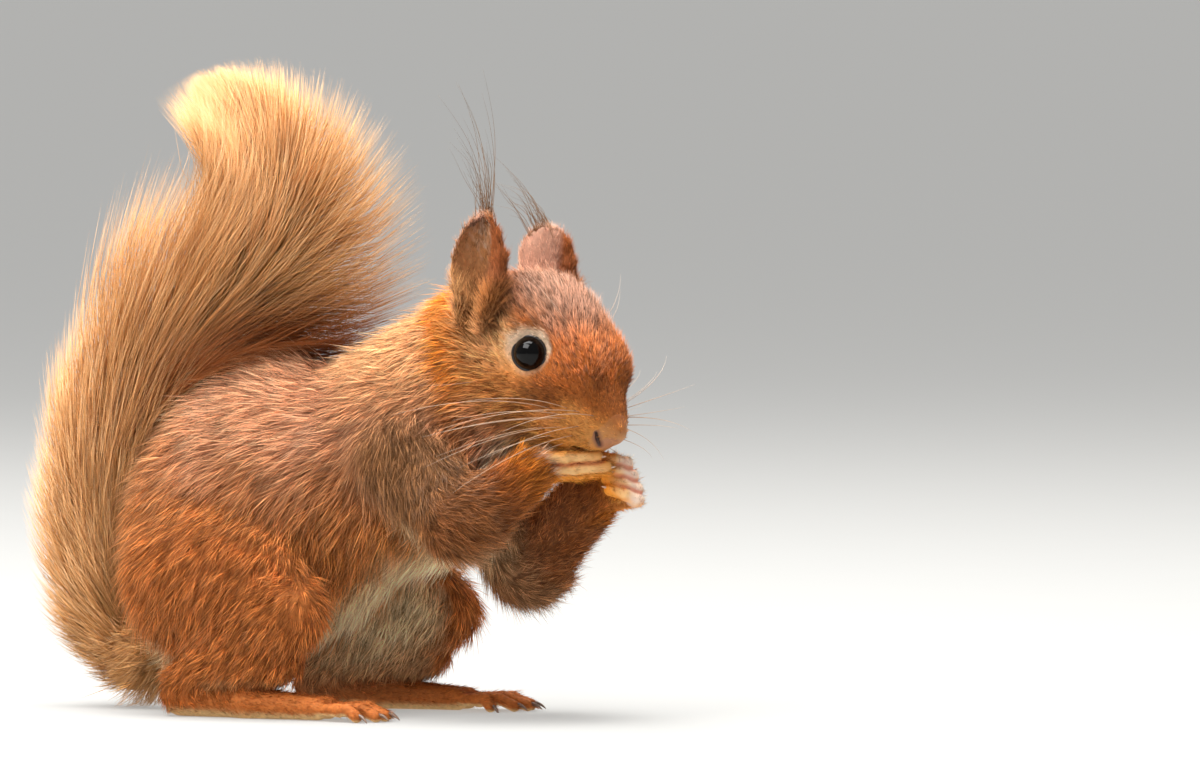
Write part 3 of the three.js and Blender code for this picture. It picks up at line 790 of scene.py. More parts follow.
def lieOfCoat(p, n, shares):
    # the direction in which the coat lies at a point
    q = toHead(p)
    flow = np.zeros_like(p)
    away = unit(q - np.float32((5, 0, 1)))
    away[:, 2] -= 0.25 * ramp(-8, -30, q[:, 0]) * ramp(6, -4, q[:, 2])
    flow += shares["skull"][:, None] * unit(away @ headTurn.T)
    down = ramp(98, 76, p[:, 2])[:, None]
    neckWay = unit(mix(np.float32((-0.85, 0, -0.5)), np.float32((-0.5, 0, -0.85)), down))
    flow += shares["neck"][:, None] * neckWay
    down = ramp(88, 45, p[:, 2])[:, None]
    torsoWay = unit(mix(np.float32((-1, 0, -0.3)), np.float32((-0.42, 0, -0.9)), down))
    flow += shares["torso"][:, None] * torsoWay
    for side in sides:
        arm, leg = armShape[side], legShape[side]
        fixed = {
            "upperArm.": (unit(np.float32(arm["elbow"]) - np.float32(arm["shoulder"]))
                          + np.float32((-0.5, 0, -0.2))),
            "forearm.": unit(np.float32(arm["wrist"]) - np.float32(arm["elbow"])),
            "hand.": unit(np.float32(arm["tips"]) - np.float32(arm["wrist"])),
            "thigh.": np.float32((-0.35, 0, -0.9)),
            "shank.": unit(np.float32(leg["ankle"]) - np.float32(leg["knee"])) + np.float32((0, 0, -0.3)),
            "foot.": unit(np.float32(leg["toes"]) - np.float32(leg["ankle"])),
            "ear.": earFrame(side)[1],
        }
        for k, way in fixed.items():
            flow += shares[k + side][:, None] * unit(way)
    flow += shares["tail"][:, None] * np.float32((-0.8, 0, 0.4))
    flow += 0.16 * np.stack([ripple(p, 11, s) for s in (11, 12, 13)], -1)
    return unit(flow - n * dot(flow, n)[:, None])


coatCut = {
    #            length, rise, radius, strands per square mm
    "skull": (1.5, 0.25, 0.085, 13.5),
    "neck": (9.0, 0.36, 0.1, 4.8),
    "torso": (10.5, 0.34, 0.095, 3.7),
    "upperArm": (8.4, 0.36, 0.09, 5.0),
    "forearm": (5.4, 0.32, 0.095, 6.2),
    "hand": (2.1, 0.30, 0.08, 8.4),
    "thigh": (8.6, 0.33, 0.11, 2.7),
    "shank": (4.4, 0.36, 0.12, 4.2),
    "foot": (2.0, 0.26, 0.09, 4.6),
    "ear": (2.2, 0.34, 0.08, 6.0),
    "tail": (9.0, 0.6, 0.12, 2.0),
}
headBack = (2.8, 0.12, 0.01, -5.5)  # what the back of the head adds to its face


def coatTable(p, shares):
    q = toHead(p)
    rows = np.zeros((len(p), 4), np.float32)
    for k, row in coatCut.items():
        row = np.tile(np.float32(row), (len(p), 1))
        if k == "skull":
            row += np.float32(headBack) * ramp(-2, -50, q[:, 0])[:, None]
            row[:, 0] += 1.2 * ramp(2, -8, q[:, 2]) * ramp(-16, -34, q[:, 0])
        rows += shares[k][:, None] * row
    wrist = np.float32(armShape["right"]["wrist"])
    fluff = ramp(8.5, 3.5, np.linalg.norm(p - wrist - np.float32((2.5, -1, 2)), axis=1))
    fluff = fluff * (shares["hand"] + shares["forearm"])
    rows[:, 0] += fluff * 1.8
    rows[:, 1] += fluff * 0.18
    chin = shares["skull"] * ramp(-5, -9, q[:, 2]) * ramp(-6, -12, q[:, 0])
    rows[:, 0] += chin * 2.4
    rows[:, 1] += chin * 0.2
    crest = shares["skull"] * ramp(6, 12, q[:, 2]) * ramp(-8, -16, q[:, 0])
    rows[:, 0] += crest * 0.5
    rows[:, 1] += crest * 0.16
    for side in sides:
        root, rise, length, across, _ = earFrame(side)
        t = (p - root) @ rise / length
        rim = shares["ear." + side] * ramp(1.3, 0.5, earOutline(t, side) - np.abs((p - root) @ across))
        rows[:, 0] += rim * 0.3
        rows[:, 3] += rim * 12
        fringe = shares["ear." + side] * ramp(-0.3, 0.2, (p - root) @ across / earShape["wide"])
        rows[:, 0] += fringe * 0.3
        rows[:, 3] += fringe * 4
        base = shares["ear." + side] * ramp(0.42, 0.05, t)
        rows[:, 0] += base * 3.4
        rows[:, 1] += base * 0.15
        rows[:, 2] += base * 0.02
    return rows


strandSteps = {1: (0, 1), 2: (0, 0.42, 1), 3: (0, 0.3, 0.66, 1)}


def strandPaths(roots, n, way, length, rise, steps, droop):
    # each hair leaves at its rise and lies down again towards its tip
    t = np.float32(strandSteps[steps])[None, :, None]
    lift = rise[:, None, None]
    reach = length[:, None, None]
    path = (roots[:, None] - n[:, None] * 0.25
            + way[:, None] * reach * t * np.sqrt(1 - np.minimum(lift, 0.9) ** 2))
    path = path + n[:, None] * reach * lift * t * (1.35 - 0.5 * t)
    path[:, :, 2] -= (droop * length)[:, None] * t[:, :, 0] ** 2
    return path


hairFlat = 0.6  # a hair's thickness over its width
pieceLimit = 195000  # the most triangles in one piece of coat


def makeStrands(name, paths, radius, tones, uv, material, dice):
    # three-sided hairs: the longer ones swell from a fine root and run out to a point,
    # the shortest are plain spikes
    count, steps = paths.shape[0], paths.shape[1] - 1
    stops = np.float32(strandSteps[steps])
    first = 0 if steps == 1 else 1
    way = unit(np.diff(paths, axis=1))
    lean = dice.normal(size=(count, 3)).astype(np.float32)
    rings = []
    for i in range(first, steps):
        ahead = unit(way[:, i] + way[:, max(i - 1, 0)])
        a = unit(np.cross(ahead, lean))
        b = np.cross(ahead, a)
        wide = (radius * (1 - 0.8 * stops[i] ** 2))[:, None]
        for k in range(3):
            turn = 2 * math.pi * k / 3
            rings.append(paths[:, i] + (a * math.cos(turn) + b * math.sin(turn) * hairFlat) * wide)
    order = [stops[i] for i in range(first, steps) for k in range(3)]
    tops = [] if steps == 1 else [paths[:, 0]]
    points = np.stack(tops + rings + [paths[:, -1]], 1)
    points[:, :, 2] = np.maximum(points[:, :, 2], 0.2)
    along = np.float32(([] if steps == 1 else [0.0]) + order + [1.0])
    shade = np.empty_like(points)
    for i, t in enumerate(along):
        low, high = (0, 1) if t < 0.5 else (1, 2)
        f = t * 2 - low
        shade[:, i] = tones[low] * (1 - f) + tones[high] * f
    ends = np.stack(np.broadcast_arrays(along[None], dice.random((count, 1)).astype(np.float32),
                                        np.float32(0)), -1)
    tris, corners = [], []
    base = 0 if steps == 1 else 1
    last = points.shape[1] - 1
    for i in range(first, steps):
        v0 = float(stops[i])
        v1 = float(stops[i + 1])
        row = base + (i - first) * 3
        for k in range(3):
            j = (k + 1) % 3
            u0, u1 = k / 3, (k + 1) / 3
            if first and i == first:
                tris.append((0, row + j, row + k))
                corners.append((((u0 + u1) / 2, 0), (u1, v0), (u0, v0)))
            if i < steps - 1:
                tris += [(row + k, row + j, row + 3 + j), (row + k, row + 3 + j, row + 3 + k)]
                corners += [((u0, v0), (u1, v0), (u1, v1)), ((u0, v0), (u1, v1), (u0, v1))]
            else:
                tris.append((row + k, row + j, last))
                corners.append(((u0, v0), (u1, v0), ((u0 + u1) / 2, v1)))
    tris = np.array(tris)
    corners = np.array(corners, np.float32).reshape(-1, 2) - 0.5
    pieces = max(1, -(-count // (pieceLimit // len(tris))))
    made = []
    for number, part in enumerate(np.array_split(np.arange(count), pieces)):
        size = points.shape[1]
        faces = (tris[None] + (np.arange(len(part)) * size)[:, None, None]).reshape(-1, 3)
        patches = uv[part][:, None] + corners[None] * 0.003
        label = name if pieces == 1 else name + "_" + str(number + 1)
        obj = makeMesh(label, points[part].reshape(-1, 3), faces, np.clip(patches, 0, 1).reshape(-1, 2),
                       {"tone": shade[part].reshape(-1, 3), "strand": ends[part].reshape(-1, 3)})
        obj.data.materials.append(material)
        made.append(obj)
    return made


class Roots:
    # places on the skin where hairs grow
    def __init__(self, points, tris, uv, seed):
        self.points, self.tris, self.uv = points, tris, uv
        self.dice = np.random.default_rng(seed)
        self.area = np.linalg.norm(areaNormals(points, tris), axis=1) / 2

    def take(self, density):
        want = self.area * density[self.tris].mean(1)
        count = np.floor(want + self.dice.random(len(want))).astype(int)
        face = np.repeat(np.arange(len(want)), count)
        a, b = self.dice.random((2, len(face)))
        turned = a + b > 1
        a, b = np.where(turned, 1 - a, a), np.where(turned, 1 - b, b)
        share = np.stack((1 - a - b, a, b), 1).astype(np.float32)
        corner = self.tris[face]
        place = (self.points[corner] * share[:, :, None]).sum(1)
        uv = (self.uv.reshape(-1, 3, 2)[face] * share[:, :, None]).sum(1)
        return place, uv, corner, share


class Sock:
    # wraps one socket so that shader sums read as sums
    def __init__(self, graph, socket):
        self.graph, self.socket = graph, socket

    def _math(self, kind, other, swapped=False):
        pair = (other, self) if swapped else (self, other)
        return self.graph.node("ShaderNodeMath", {"operation": kind}, {0: pair[0], 1: pair[1]})

    def __add__(self, o):
        return self._math("ADD", o)

    __radd__ = __add__

    def __sub__(self, o):
        return self._math("SUBTRACT", o)

    def __rsub__(self, o):
        return self._math("SUBTRACT", o, True)

    def __mul__(self, o):
        return self._math("MULTIPLY", o)

    __rmul__ = __mul__

    def between(self, low, high):
        settings = {"interpolation_type": "SMOOTHSTEP"}
        return self.graph.node("ShaderNodeMapRange", settings, {0: self, 1: low, 2: high, 3: 0.0, 4: 1.0})


class Finish:
    def __init__(self, name):
        self.material = bpy.data.materials.new(name)
        self.material.use_nodes = True
        self.tree = self.material.node_tree
        self.tree.nodes.clear()
        self.output = self.tree.nodes.new("ShaderNodeOutputMaterial")

    def node(self, kind, settings=None, inputs=None, out=0):
        made = self.tree.nodes.new(kind)
        for key, value in (settings or {}).items():
            setattr(made, key, value)
        for key, value in (inputs or {}).items():
            socket = made.inputs[key]
            if isinstance(value, Sock):
                self.tree.links.new(value.socket, socket)
            elif value is not None:
                socket.default_value = value
        return Sock(self, made.outputs[out])

    def attribute(self, name):
        return self.node("ShaderNodeAttribute", {"attribute_name": name}, out="Color")

    def part(self, color, channel):
        return self.node("ShaderNodeSeparateColor", None, {0: color}, channel)

    def place(self):
        return self.node("ShaderNodeTexCoord", out="Object")

    def noise(self, scale, detail, rough=0.55):
        inputs = {"Vector": self.place(), "Scale": scale, "Detail": detail, "Roughness": rough}
        return self.node("ShaderNodeTexNoise", None, inputs)

    def mixed(self, share, a, b):
        return self.node("ShaderNodeMix", {"data_type": "RGBA"}, {0: share, 6: a, 7: b}, 2)

    def scaled(self, color, amount):
        return self.node("ShaderNodeVectorMath", {"operation": "SCALE"}, {0: color, "Scale": amount})

    def bump(self, height, strength, distance):
        inputs = {"Strength": strength, "Distance": distance, "Height": height}
        return self.node("ShaderNodeBump", None, inputs)

    def surface(self, constants, links):
        shader = self.tree.nodes.new("ShaderNodeBsdfPrincipled")
        for key, value in constants.items():
            shader.inputs[key].default_value = value
        for key, value in links.items():
            self.tree.links.new(value.socket, shader.inputs[key])
        self.tree.links.new(shader.outputs[0], self.output.inputs[0])
        return self.material


def coatFinish(name, spread, shine):
    # hair: the marking's own colour, darker at the root (partly the hair's own darker base, partly painted
    # shade deep in the coat), with each hair a little lighter or darker
    look = {"rough": 0.62, "tipLight": 0.24, "patch": 90.0, "patchDepth": 0.22}
    f = Finish(name)
    tone = f.attribute("tone")
    strand = f.attribute("strand")
    along = f.part(strand, "Red")
    chance = f.part(strand, "Green")
    patch = f.noise(look["patch"], 2.0)
    level = 0.94 + look["tipLight"] * along.between(0.0, 0.8)
    deep = look["patchDepth"]
    level = level * (1 - spread * 0.5 + spread * chance) * (1 - deep * 0.5 + deep * patch)
    color = f.scaled(tone, level)
    rough = look["rough"] + 0.12 * patch
    return f.surface({"Sheen Weight": shine, "Sheen Roughness": 0.4, "Sheen Tint": (1, 0.8, 0.6, 1),
                      "Specular IOR Level": 0.16, "Specular Tint": (1, 0.8, 0.6, 1)},
                     {"Base Color": color, "Roughness": rough})


def skinFinish():
    # the short underfur and bare skin seen between the hairs
    look = {"shade": 0.80, "hair": 900.0, "pore": 2600.0, "bump": 0.35}
    f = Finish("squirrel_underfur")
    tone = f.attribute("tone")
    bare = f.part(f.attribute("strand"), "Red")
    hair = f.noise(look["hair"], 4.0, 0.6)
    pore = f.noise(look["pore"], 2.0)
    level = (look["shade"] + 0.2 * bare) * (1 + (0.36 * hair.between(0.3, 0.7) - 0.18) * (1 - 0.85 * bare))
    color = f.scaled(tone, level)
    normal = f.bump(hair * 0.6 * (1 - 0.8 * bare) + pore * 0.4 * (1 - 0.7 * bare), look["bump"], 0.0004)
    return f.surface({"Subsurface Weight": 0.08, "Subsurface Scale": 0.004, "Specular IOR Level": 0.3},
                     {"Base Color": color, "Roughness": 0.72 - 0.2 * bare + 0.1 * pore, "Normal": normal})


coatMaterial = coatFinish("squirrel_coat", 0.5, 0.05)
tailMaterial = coatFinish("squirrel_brush", 0.5, 0.1)

skinShares = regionShares(skinPoints)
skinTone = markings(skinPoints, skinNormals, skinShares)
bareness = np.clip(skinShares["hand"] + skinShares["ear"] * 0.3, 0, 1)
skin = makeMesh("skin", skinPoints, skinTris, np.zeros((skinTris.size, 2)),
                {"tone": skinTone, "strand": np.stack((bareness, bareness, bareness), 1)})
bpy.context.view_layer.objects.active = skin
skin.select_set(True)
bpy.ops.object.mode_set(mode="EDIT")
bpy.ops.mesh.select_all(action="SELECT")
bpy.ops.uv.smart_project(angle_limit=math.radians(66), island_margin=0.002)
bpy.ops.object.mode_set(mode="OBJECT")
skin.data.materials.append(skinFinish())
skinUv = np.empty(skinTris.size * 2, np.float32)
skin.data.uv_layers["OFBake"].data.foreach_get("uv", skinUv)
skinUv = skinUv.reshape(-1, 2)
flesh = [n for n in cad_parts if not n.startswith("eye")]
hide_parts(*flesh)
print("skin painted")

table = coatTable(skinPoints, skinShares)
lie = lieOfCoat(skinPoints, skinNormals, skinShares)
thin = 1.0
eyeGap = eyeDistance(skinPoints)
clear = ramp(5.25, 5.75, eyeGap)
table[:, 0] *= 0.35 + 0.65 * ramp(5.5, 11, eyeGap)
silver = paleTips(skinPoints, skinShares)
palmSide = np.zeros(len(skinPoints), np.float32)
for side in sides:
    _, _, wide, bend, _ = handParts(side)
    gaps, along = fingerGaps(side, skinPoints)
    onEdge = ramp(0.3, 0.7, np.abs(skinNormals @ wide))
    bare = np.maximum(ramp(1.3, 0.7, gaps[1]), 0.92 - 0.85 * onEdge) * ramp(-2.4, 0.4, along)
    palm = ramp(0.1, 0.5, skinNormals @ bend) * (1 if side == "right" else ramp(2.5, 0.5, gaps[0]))
    palmSide += skinShares["hand." + side] * np.maximum(palm, bare)
solePlace = skinShares["foot"] * ramp(-0.4, -0.8, skinNormals[:, 2])
padGap = egg(nosePad["pad"], nosePad["padHalf"])(toHead(skinPoints))
noseClear = ramp(0.5, 1.1, makeNostrils(0)(skinPoints)) * ramp(-0.6, 0.5, padGap)
hiddenTail = 1 - skinShares["tail"] * 0.9
density = (table[:, 3] * clear * noseClear * hiddenTail
           * (1 - np.clip(palmSide, 0, 1) * 0.93) * (1 - solePlace))
roots = Roots(skinPoints, skinTris, skinUv, 20)


def growCoat(name, mask, steps, tuft, gather, differ, seed):
    # guides are set first, then each one gathers a few hairs round it into a tuft
    dice = np.random.default_rng(seed)
    place, uv, corner, share = roots.take(density * np.where(mask < 0.1, 0, mask) * thin / tuft)

    def at(values):
        picked = values[corner]
        w = share.reshape(share.shape + (1,) * (picked.ndim - 2))
        return (picked * w).sum(1)
    n, way, rows, tone = unit(at(skinNormals)), unit(at(lie)), at(table), at(skinTone)
    count = len(place)
    swirl = dice.normal(0, 0.2, count).astype(np.float32)[:, None]
    way = unit(way + np.cross(n, way) * swirl)
    length = rows[:, 0] * dice.uniform(0.75, 1.2, count)
    rise = rows[:, 1] * dice.uniform(0.7, 1.3, count)
    guard = dice.random(count) < guardHair["share"]
    shade = dice.normal(1, differ, count) * np.where(guard, guardHair["light"], guardHair["dark"])
    length = length * np.where(guard, guardHair["longer"], 1)
    rise = rise * np.where(guard, 1.15, 0.9)
    member = np.repeat(np.arange(count), tuft)
    total = len(member)
    apart = (0.42 / np.sqrt(rows[member, 3] / tuft))[:, None]
    spot = dice.normal(0, 1, (total, 2)).astype(np.float32) * apart
    offset = way[member] * spot[:, :1] + np.cross(n, way)[member] * spot[:, 1:]
    start = place[member] + offset
    # set back on to the skin
    if tuft > 1:
        start = start - n[member] * np.clip(space.read(start), -0.8, 0.8)[:, None]
    grow = (length[member] * dice.uniform(0.72, 1.15, total)).astype(np.float32)
    own = unit(way[member] + dice.normal(0, 0.15, (total, 3)).astype(np.float32))
    stand = (rise[member] * dice.uniform(0.75, 1.25, total)).astype(np.float32)
    paths = strandPaths(start, n[member], own, grow, stand, steps, 0.05)
    t = np.float32(strandSteps[steps])[None, :, None]
    paths -= offset[:, None] * gather * t ** 1.3
    # keeps every hair outside the skin
    flatPaths = paths[:, 1:].reshape(-1, 3)
    deep = space.read(flatPaths)
    need = np.maximum(0.25 * rows[member, 2].repeat(steps) * 6 - deep, 0)
    flatPaths = flatPaths + n[member].repeat(steps, 0) * np.clip(need, 0, 2.5)[:, None]
    paths[:, 1:] = flatPaths.reshape(total, steps, 3)
    radius = (rows[member, 2] * dice.uniform(0.75, 1.25, total)).astype(np.float32)
    level = (shade[member] * dice.normal(1, 0.14, total))[:, None].clip(0.3, 2)
    tone = (tone[member] * level).astype(np.float32)
    frost = np.clip(dice.normal(0.4, 0.3, (total, 1)) + 1.1 * guard[member][:, None], 0, 1.6)
    fade = at(silver[:, None])[member] * frost
    # darker roots: partly the hair's own darker base, partly painted shade deep in the coat
    root = tone ** 1.3 * 0.5
    tip = np.clip(mix(tone * 1.06, silverPaint[None] * 0.45 + tone * 0.75, fade), 0, 1)
    return makeStrands(name, paths, radius, (root, tone, tip), uv[member], coatMaterial, dice=dice)


silverPaint = paint(244, 216, 196)
# the long pale hairs that lie over the darker ones
guardHair = {"share": 0.36, "light": 1.3, "dark": 0.74, "longer": 1.2}
s = skinShares
faceMask = s["skull"] * ramp(-46, -38, toHead(skinPoints)[:, 0])
paws = s["hand"] + s["foot"]
coatParts = {
    #            where, bends, hairs to a tuft, how far they gather, how much tufts differ
    "coat_face": (faceMask, 1, 3, 0.6, 0.5),
    "coat_head": (s["skull"] - faceMask, 2, 3, 0.45, 0.26),
    "coat_ears": (s["ear"], 1, 2, 0.2, 0.2),
    "coat_body": (s["torso"] + s["neck"] + s["tail"], 2, 3, 0.3, 0.28),
    "coat_arms": (s["upperArm"] + s["forearm"], 2, 3, 0.3, 0.28),
    "coat_legs": (s["thigh"] + s["shank"], 2, 3, 0.4, 0.25),
    "coat_paws": (paws, 1, 2, 0.2, 0.16),
}
for number, (name, (mask, steps, tuft, gather, differ)) in enumerate(coatParts.items()):
    made = growCoat(name, mask, steps, tuft, gather, differ, 40 + number)
    print(name, sum(len(o.data.polygons) for o in made))

brush = {"hairs": 25600, "steps": 3, "tuft": 3, "radius": 0.115, "gather": 0.3, "pale": (226, 190, 150)}


def axisAt(t):
    bone = np.float32(tailShape["bone"])
    k = np.clip(t, 0, 1) * (len(bone) - 1)
    i = np.minimum(k.astype(int), len(bone) - 2)
    f = (k - i)[:, None]
    before, after = bone[np.maximum(i - 1, 0)], bone[np.minimum(i + 2, len(bone) - 1)]
    a, b = bone[i], bone[i + 1]
    place = 0.5 * (2 * a + (b - before) * f + (2 * before - 5 * a + 4 * b - after) * f ** 2
                   + (3 * a - before - 3 * b + after) * f ** 3)
    way = 0.5 * ((b - before) + 2 * (2 * before - 5 * a + 4 * b - after) * f
                 + 3 * (3 * a - before - 3 * b + after) * f ** 2)
    thick = np.interp(k, np.arange(len(bone)), tailShape["thick"]).astype(np.float32)
    return place.astype(np.float32), unit(way), thick


def growBrush():
    dice = np.random.default_rng(77)
    guides = int(brush["hairs"] * thin / brush["tuft"])
    t = dice.random(guides).astype(np.float32) ** 0.85
    around = dice.uniform(0, 2 * math.pi, guides).astype(np.float32)
    member = np.repeat(np.arange(guides), brush["tuft"])
    total = len(member)
    tm = np.clip(t[member] + dice.normal(0, 0.012, total), 0, 1).astype(np.float32)
    turn = around[member] + dice.normal(0, 0.16, total).astype(np.float32)

    def course(t, turn, length, spread):
        place, way, thick = axisAt(t)
        side = unit(np.cross(way, np.float32((0, 1, 0))))
        across = np.cross(side, way)
        out = unit(side * np.cos(turn)[:, None] + across * np.sin(turn)[:, None] * 0.75)
        forward = np.clip(out @ np.float32((0.9, 0, -0.3)), 0, 1) * ramp(0.4, 0.55, t) * ramp(0.85, 0.7, t)
        lift = (math.radians(50) * (1 - ramp(0.82, 1.0, t) * 0.75) * spread
                + forward * math.radians(34))[:, None]
        steps = brush["steps"]
        path = np.empty((len(t), steps + 1, 3), np.float32)
        for k in range(steps + 1):
            s = strandSteps[steps][k]
            bend = lift * (1.12 - 0.42 * s)
            path[:, k] = (place + out * thick[:, None] * 0.7
                          + (out * np.sin(bend) + way * np.cos(bend)) * length[:, None] * s)
        return path

    spread = dice.normal(1, 0.13, guides).astype(np.float32)
    inset = np.abs(dice.normal(0, 3.0, guides)).astype(np.float32) - 1.6
    length = np.full(guides, 8, np.float32)
    for _ in range(7):
        tip = course(t, around, length, spread)[:, -1]
        length = np.clip(length - (brushField(tip) + inset) * 0.95, 5, 60)
    own = length[member] * (1.03 - 0.34 * dice.random(total) ** 2.5).astype(np.float32)
    guide = course(t, around, length, spread)[member]
    paths = course(tm, turn, own, (spread[member] * dice.normal(1, 0.05, total)).astype(np.float32))
    s = np.float32(strandSteps[brush["steps"]])[None, :, None]
    paths = paths + (guide - paths) * brush["gather"] * s ** 1.2
    # no tip stands out of the brush by much, and none runs into the back
    for _ in range(2):
        over = np.clip(brushField(paths[:, -1]) - 2.0, 0, 20)
        reach = np.linalg.norm(paths[:, -1] - paths[:, 0], axis=1)
        less = (1 - np.clip(over / reach, 0, 0.6))[:, None, None]
        paths = paths[:, :1] + (paths - paths[:, :1]) * less
    for _ in range(2):
        for k in range(1, brush["steps"] + 1):
            p = paths[:, k]
            need = np.clip(6.5 - bodySpace.read(p), 0, 6) * (tm > 0.35)
            paths[:, k] = p + bodySpace.slope(p) * need[:, None]
    shade = dice.normal(1, 0.08, guides)[member] * dice.normal(1, 0.07, total)
    body = (np.tile(coatPaint["tail"], (total, 1)) * shade[:, None]).astype(np.float32)
    # painted shade: the hairs turn deep orange where the tail lies in the fold over the back
    back = np.minimum(regions["torso"](paths[:, 2]), regions["neck"](paths[:, 2]))
    foldShade = ramp(26, 8, back) * ramp(0.32, 0.45, tm)
    body = lay(body, coatPaint["tailFoldShade"], foldShade * 0.9).astype(np.float32)
    # darker roots: partly the hair's own darker base, partly painted shade deep in the brush
    root = body ** 1.2 * 0.75
    pale = paint(*brush["pale"])
    tip = mix(body, pale[None], np.clip(dice.normal(0.5, 0.25, (total, 1)), 0, 1) * (1 - 0.8 * foldShade[:, None]))
    radius = (brush["radius"] * dice.uniform(0.7, 1.25, total)).astype(np.float32)
    uv = np.stack((0.02 + 0.96 * tm, 0.02 + 0.96 * (turn % (2 * math.pi)) / (2 * math.pi)), 1)
    return makeStrands("coat_brush", paths, radius, (root, body, tip), uv, tailMaterial,
                       dice=dice)


made = growBrush()
print("coat_brush", sum(len(o.data.polygons) for o in made))


def eyeFinish():
    look = {"iris": (0.008, 0.0035, 0.002, 1), "pupil": (0.0015, 0.0012, 0.0012, 1)}
    f = Finish("squirrel_eye")
    ring = f.part(f.attribute("tone"), "Red")
    fleck = f.noise(900.0, 3.0)
    edge = (ring + 0.03 * fleck).between(0.46, 0.56)
    color = f.mixed(edge, look["pupil"], look["iris"])
    return f.surface({"Coat Weight": 1.0, "Coat Roughness": 0.015, "Coat IOR": 1.3,
                      "Specular IOR Level": 0.0},
                     {"Base Color": color, "Roughness": 0.12 + 0.05 * fleck})


def ringMesh(rows, loop=False):
    # a form lofted through closed rows of points; loop joins the last row to the first as well
    rows = np.asarray(rows, np.float32)
    count, size = rows.shape[:2]
    tris = []
    for i in range(count if loop else count - 1):
        n = (i + 1) % count
        for k in range(size):
            j = (k + 1) % size
            a, b, c, d = i * size + k, i * size + j, n * size + j, n * size + k
            tris += [(a, b, c), (a, c, d)]
    return rows.reshape(-1, 3), np.array(tris)


def tube(points, radii, around):
    # a round tapering rod along a curve, closed to a point at both ends
    points = np.float32(points)
    ways = unit(np.gradient(points, axis=0))
    a = unit(np.cross(ways, np.float32((0.31, 0.52, 0.79))))
    b = np.cross(ways, a)
    turn = np.linspace(0, 2 * math.pi, around + 1)[:-1]
    circle = np.cos(turn)[None, :, None] * a[:, None] + np.sin(turn)[None, :, None] * b[:, None]
    rows = points[:, None] + circle * np.float32(radii)[:, None, None]
    made, tris = ringMesh(rows)
    last = len(made)
    made = np.concatenate((made, points[:1], points[-1:]))
    caps = []
    for k in range(around):
        j = (k + 1) % around
        caps.append((last, j, k))
        end = (len(points) - 1) * around
        caps.append((last + 1, end + k, end + j))
    return made, np.concatenate((tris, np.array(caps)))


def gathered(pieces):
    # several small forms made into one
    points, tris, tones, count = [], [], [], 0
    for p, t, c in pieces:
        points.append(p)
        tris.append(t + count)
        tones.append(c)
        count += len(p)
    return np.concatenate(points), np.concatenate(tris), np.concatenate(tones)


def outward(points, tris):
    # turns the faces so that they look away from the middle
    total = dot(areaNormals(points, tris), points[tris].mean(1) - points.mean(0)).sum()
    return tris if total > 0 else tris[:, ::-1]


def boxUv(count):
    # one small patch per triangle, in rows
    side = math.ceil(math.sqrt(count))
    k = np.arange(count)
    base = np.stack((k % side, k // side), 1) / side
    corner = np.float32(((0.1, 0.1), (0.9, 0.1), (0.1, 0.9))) / side
    return (base[:, None] + corner[None]).reshape(-1, 2)


def smallPiece(name, points, tris, tones, material):
    made = makeMesh(name, points, tris, boxUv(len(tris)), {"tone": tones})
    made.data.materials.append(material)
    return made


def eyeFrame(side):
    s = sides[side]
    at = inHead(flipped(eyeShape["at"], s))
    look = unit(headTurn @ flipped(unit(eyeShape["look"]), s))
    ahead = headTurn @ np.float32((1, 0, 0))
    ahead = unit(ahead - look * dot(ahead, look))
    up = unit(np.cross(look, ahead))
    if up[2] < 0:
        up = -up
    return at, look, ahead, up


eyeMaterial = eyeFinish()
for side in sides:
    at, look, ahead, up = eyeFrame(side)
    rows, shade = [], []
    for i in range(33):
        angle = math.pi * i / 32
        around = np.linspace(0, 2 * math.pi, 49)[:-1]
        r = eyeShape["radius"] - 0.05
        bulge = 1 + 0.02 * math.exp(-(angle / 0.7) ** 2)
        circle = np.outer(np.cos(around), ahead) + np.outer(np.sin(around), up)
        rows.append(at + look * math.cos(angle) * r * bulge + circle * math.sin(max(angle, 0.002)) * r)
        shade.append(np.full((48, 3), angle / (math.pi / 2)))
    points, tris = ringMesh(rows)
    tris = outward(points, tris)
    eye = smallPiece("eyeball_" + side, points, tris, np.concatenate(shade), eyeMaterial)
    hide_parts("eye_" + side)
print("eyes ready")


lid = {
    "open": 63, "corner": (-24, 13, 20), "backCorner": (172, 6, 26), "brow": (90, -2, 40),
    # degrees out from the opening, height above the eye's middle, how pale
    "section": ((-4, 4.8, 0), (-3.2, 5.12, 0), (-1.5, 5.36, 0), (1.5, 5.5, 0.1), (5, 5.52, 0.35),
                (9, 5.36, 0.7), (13, 5.1, 0.8), (18, 4.7, 0.8), (24, 4.2, 0.8), (20, 3.9, 1), (6, 4.3, 0)),
    "dark": paint(24, 16, 14), "pale": paint(176, 132, 100),
}


def bareFinish(name, rough, shine, grain, depth):
    # bare wet or leathery skin with a fine crease
    f = Finish(name)
    tone = f.attribute("tone")
    crease = f.noise(grain, 4.0, 0.6)
    fine = f.noise(grain * 3, 2.0)
    color = f.scaled(tone, 0.86 + 0.28 * crease)
    normal = f.bump(crease * 0.7 + fine * 0.3, depth, 0.0002)
    return f.surface({"Coat Weight": shine, "Coat Roughness": 0.2,
                      "Subsurface Weight": 0.1, "Subsurface Scale": 0.002},
                     {"Base Color": color, "Roughness": rough + 0.15 * crease, "Normal": normal})


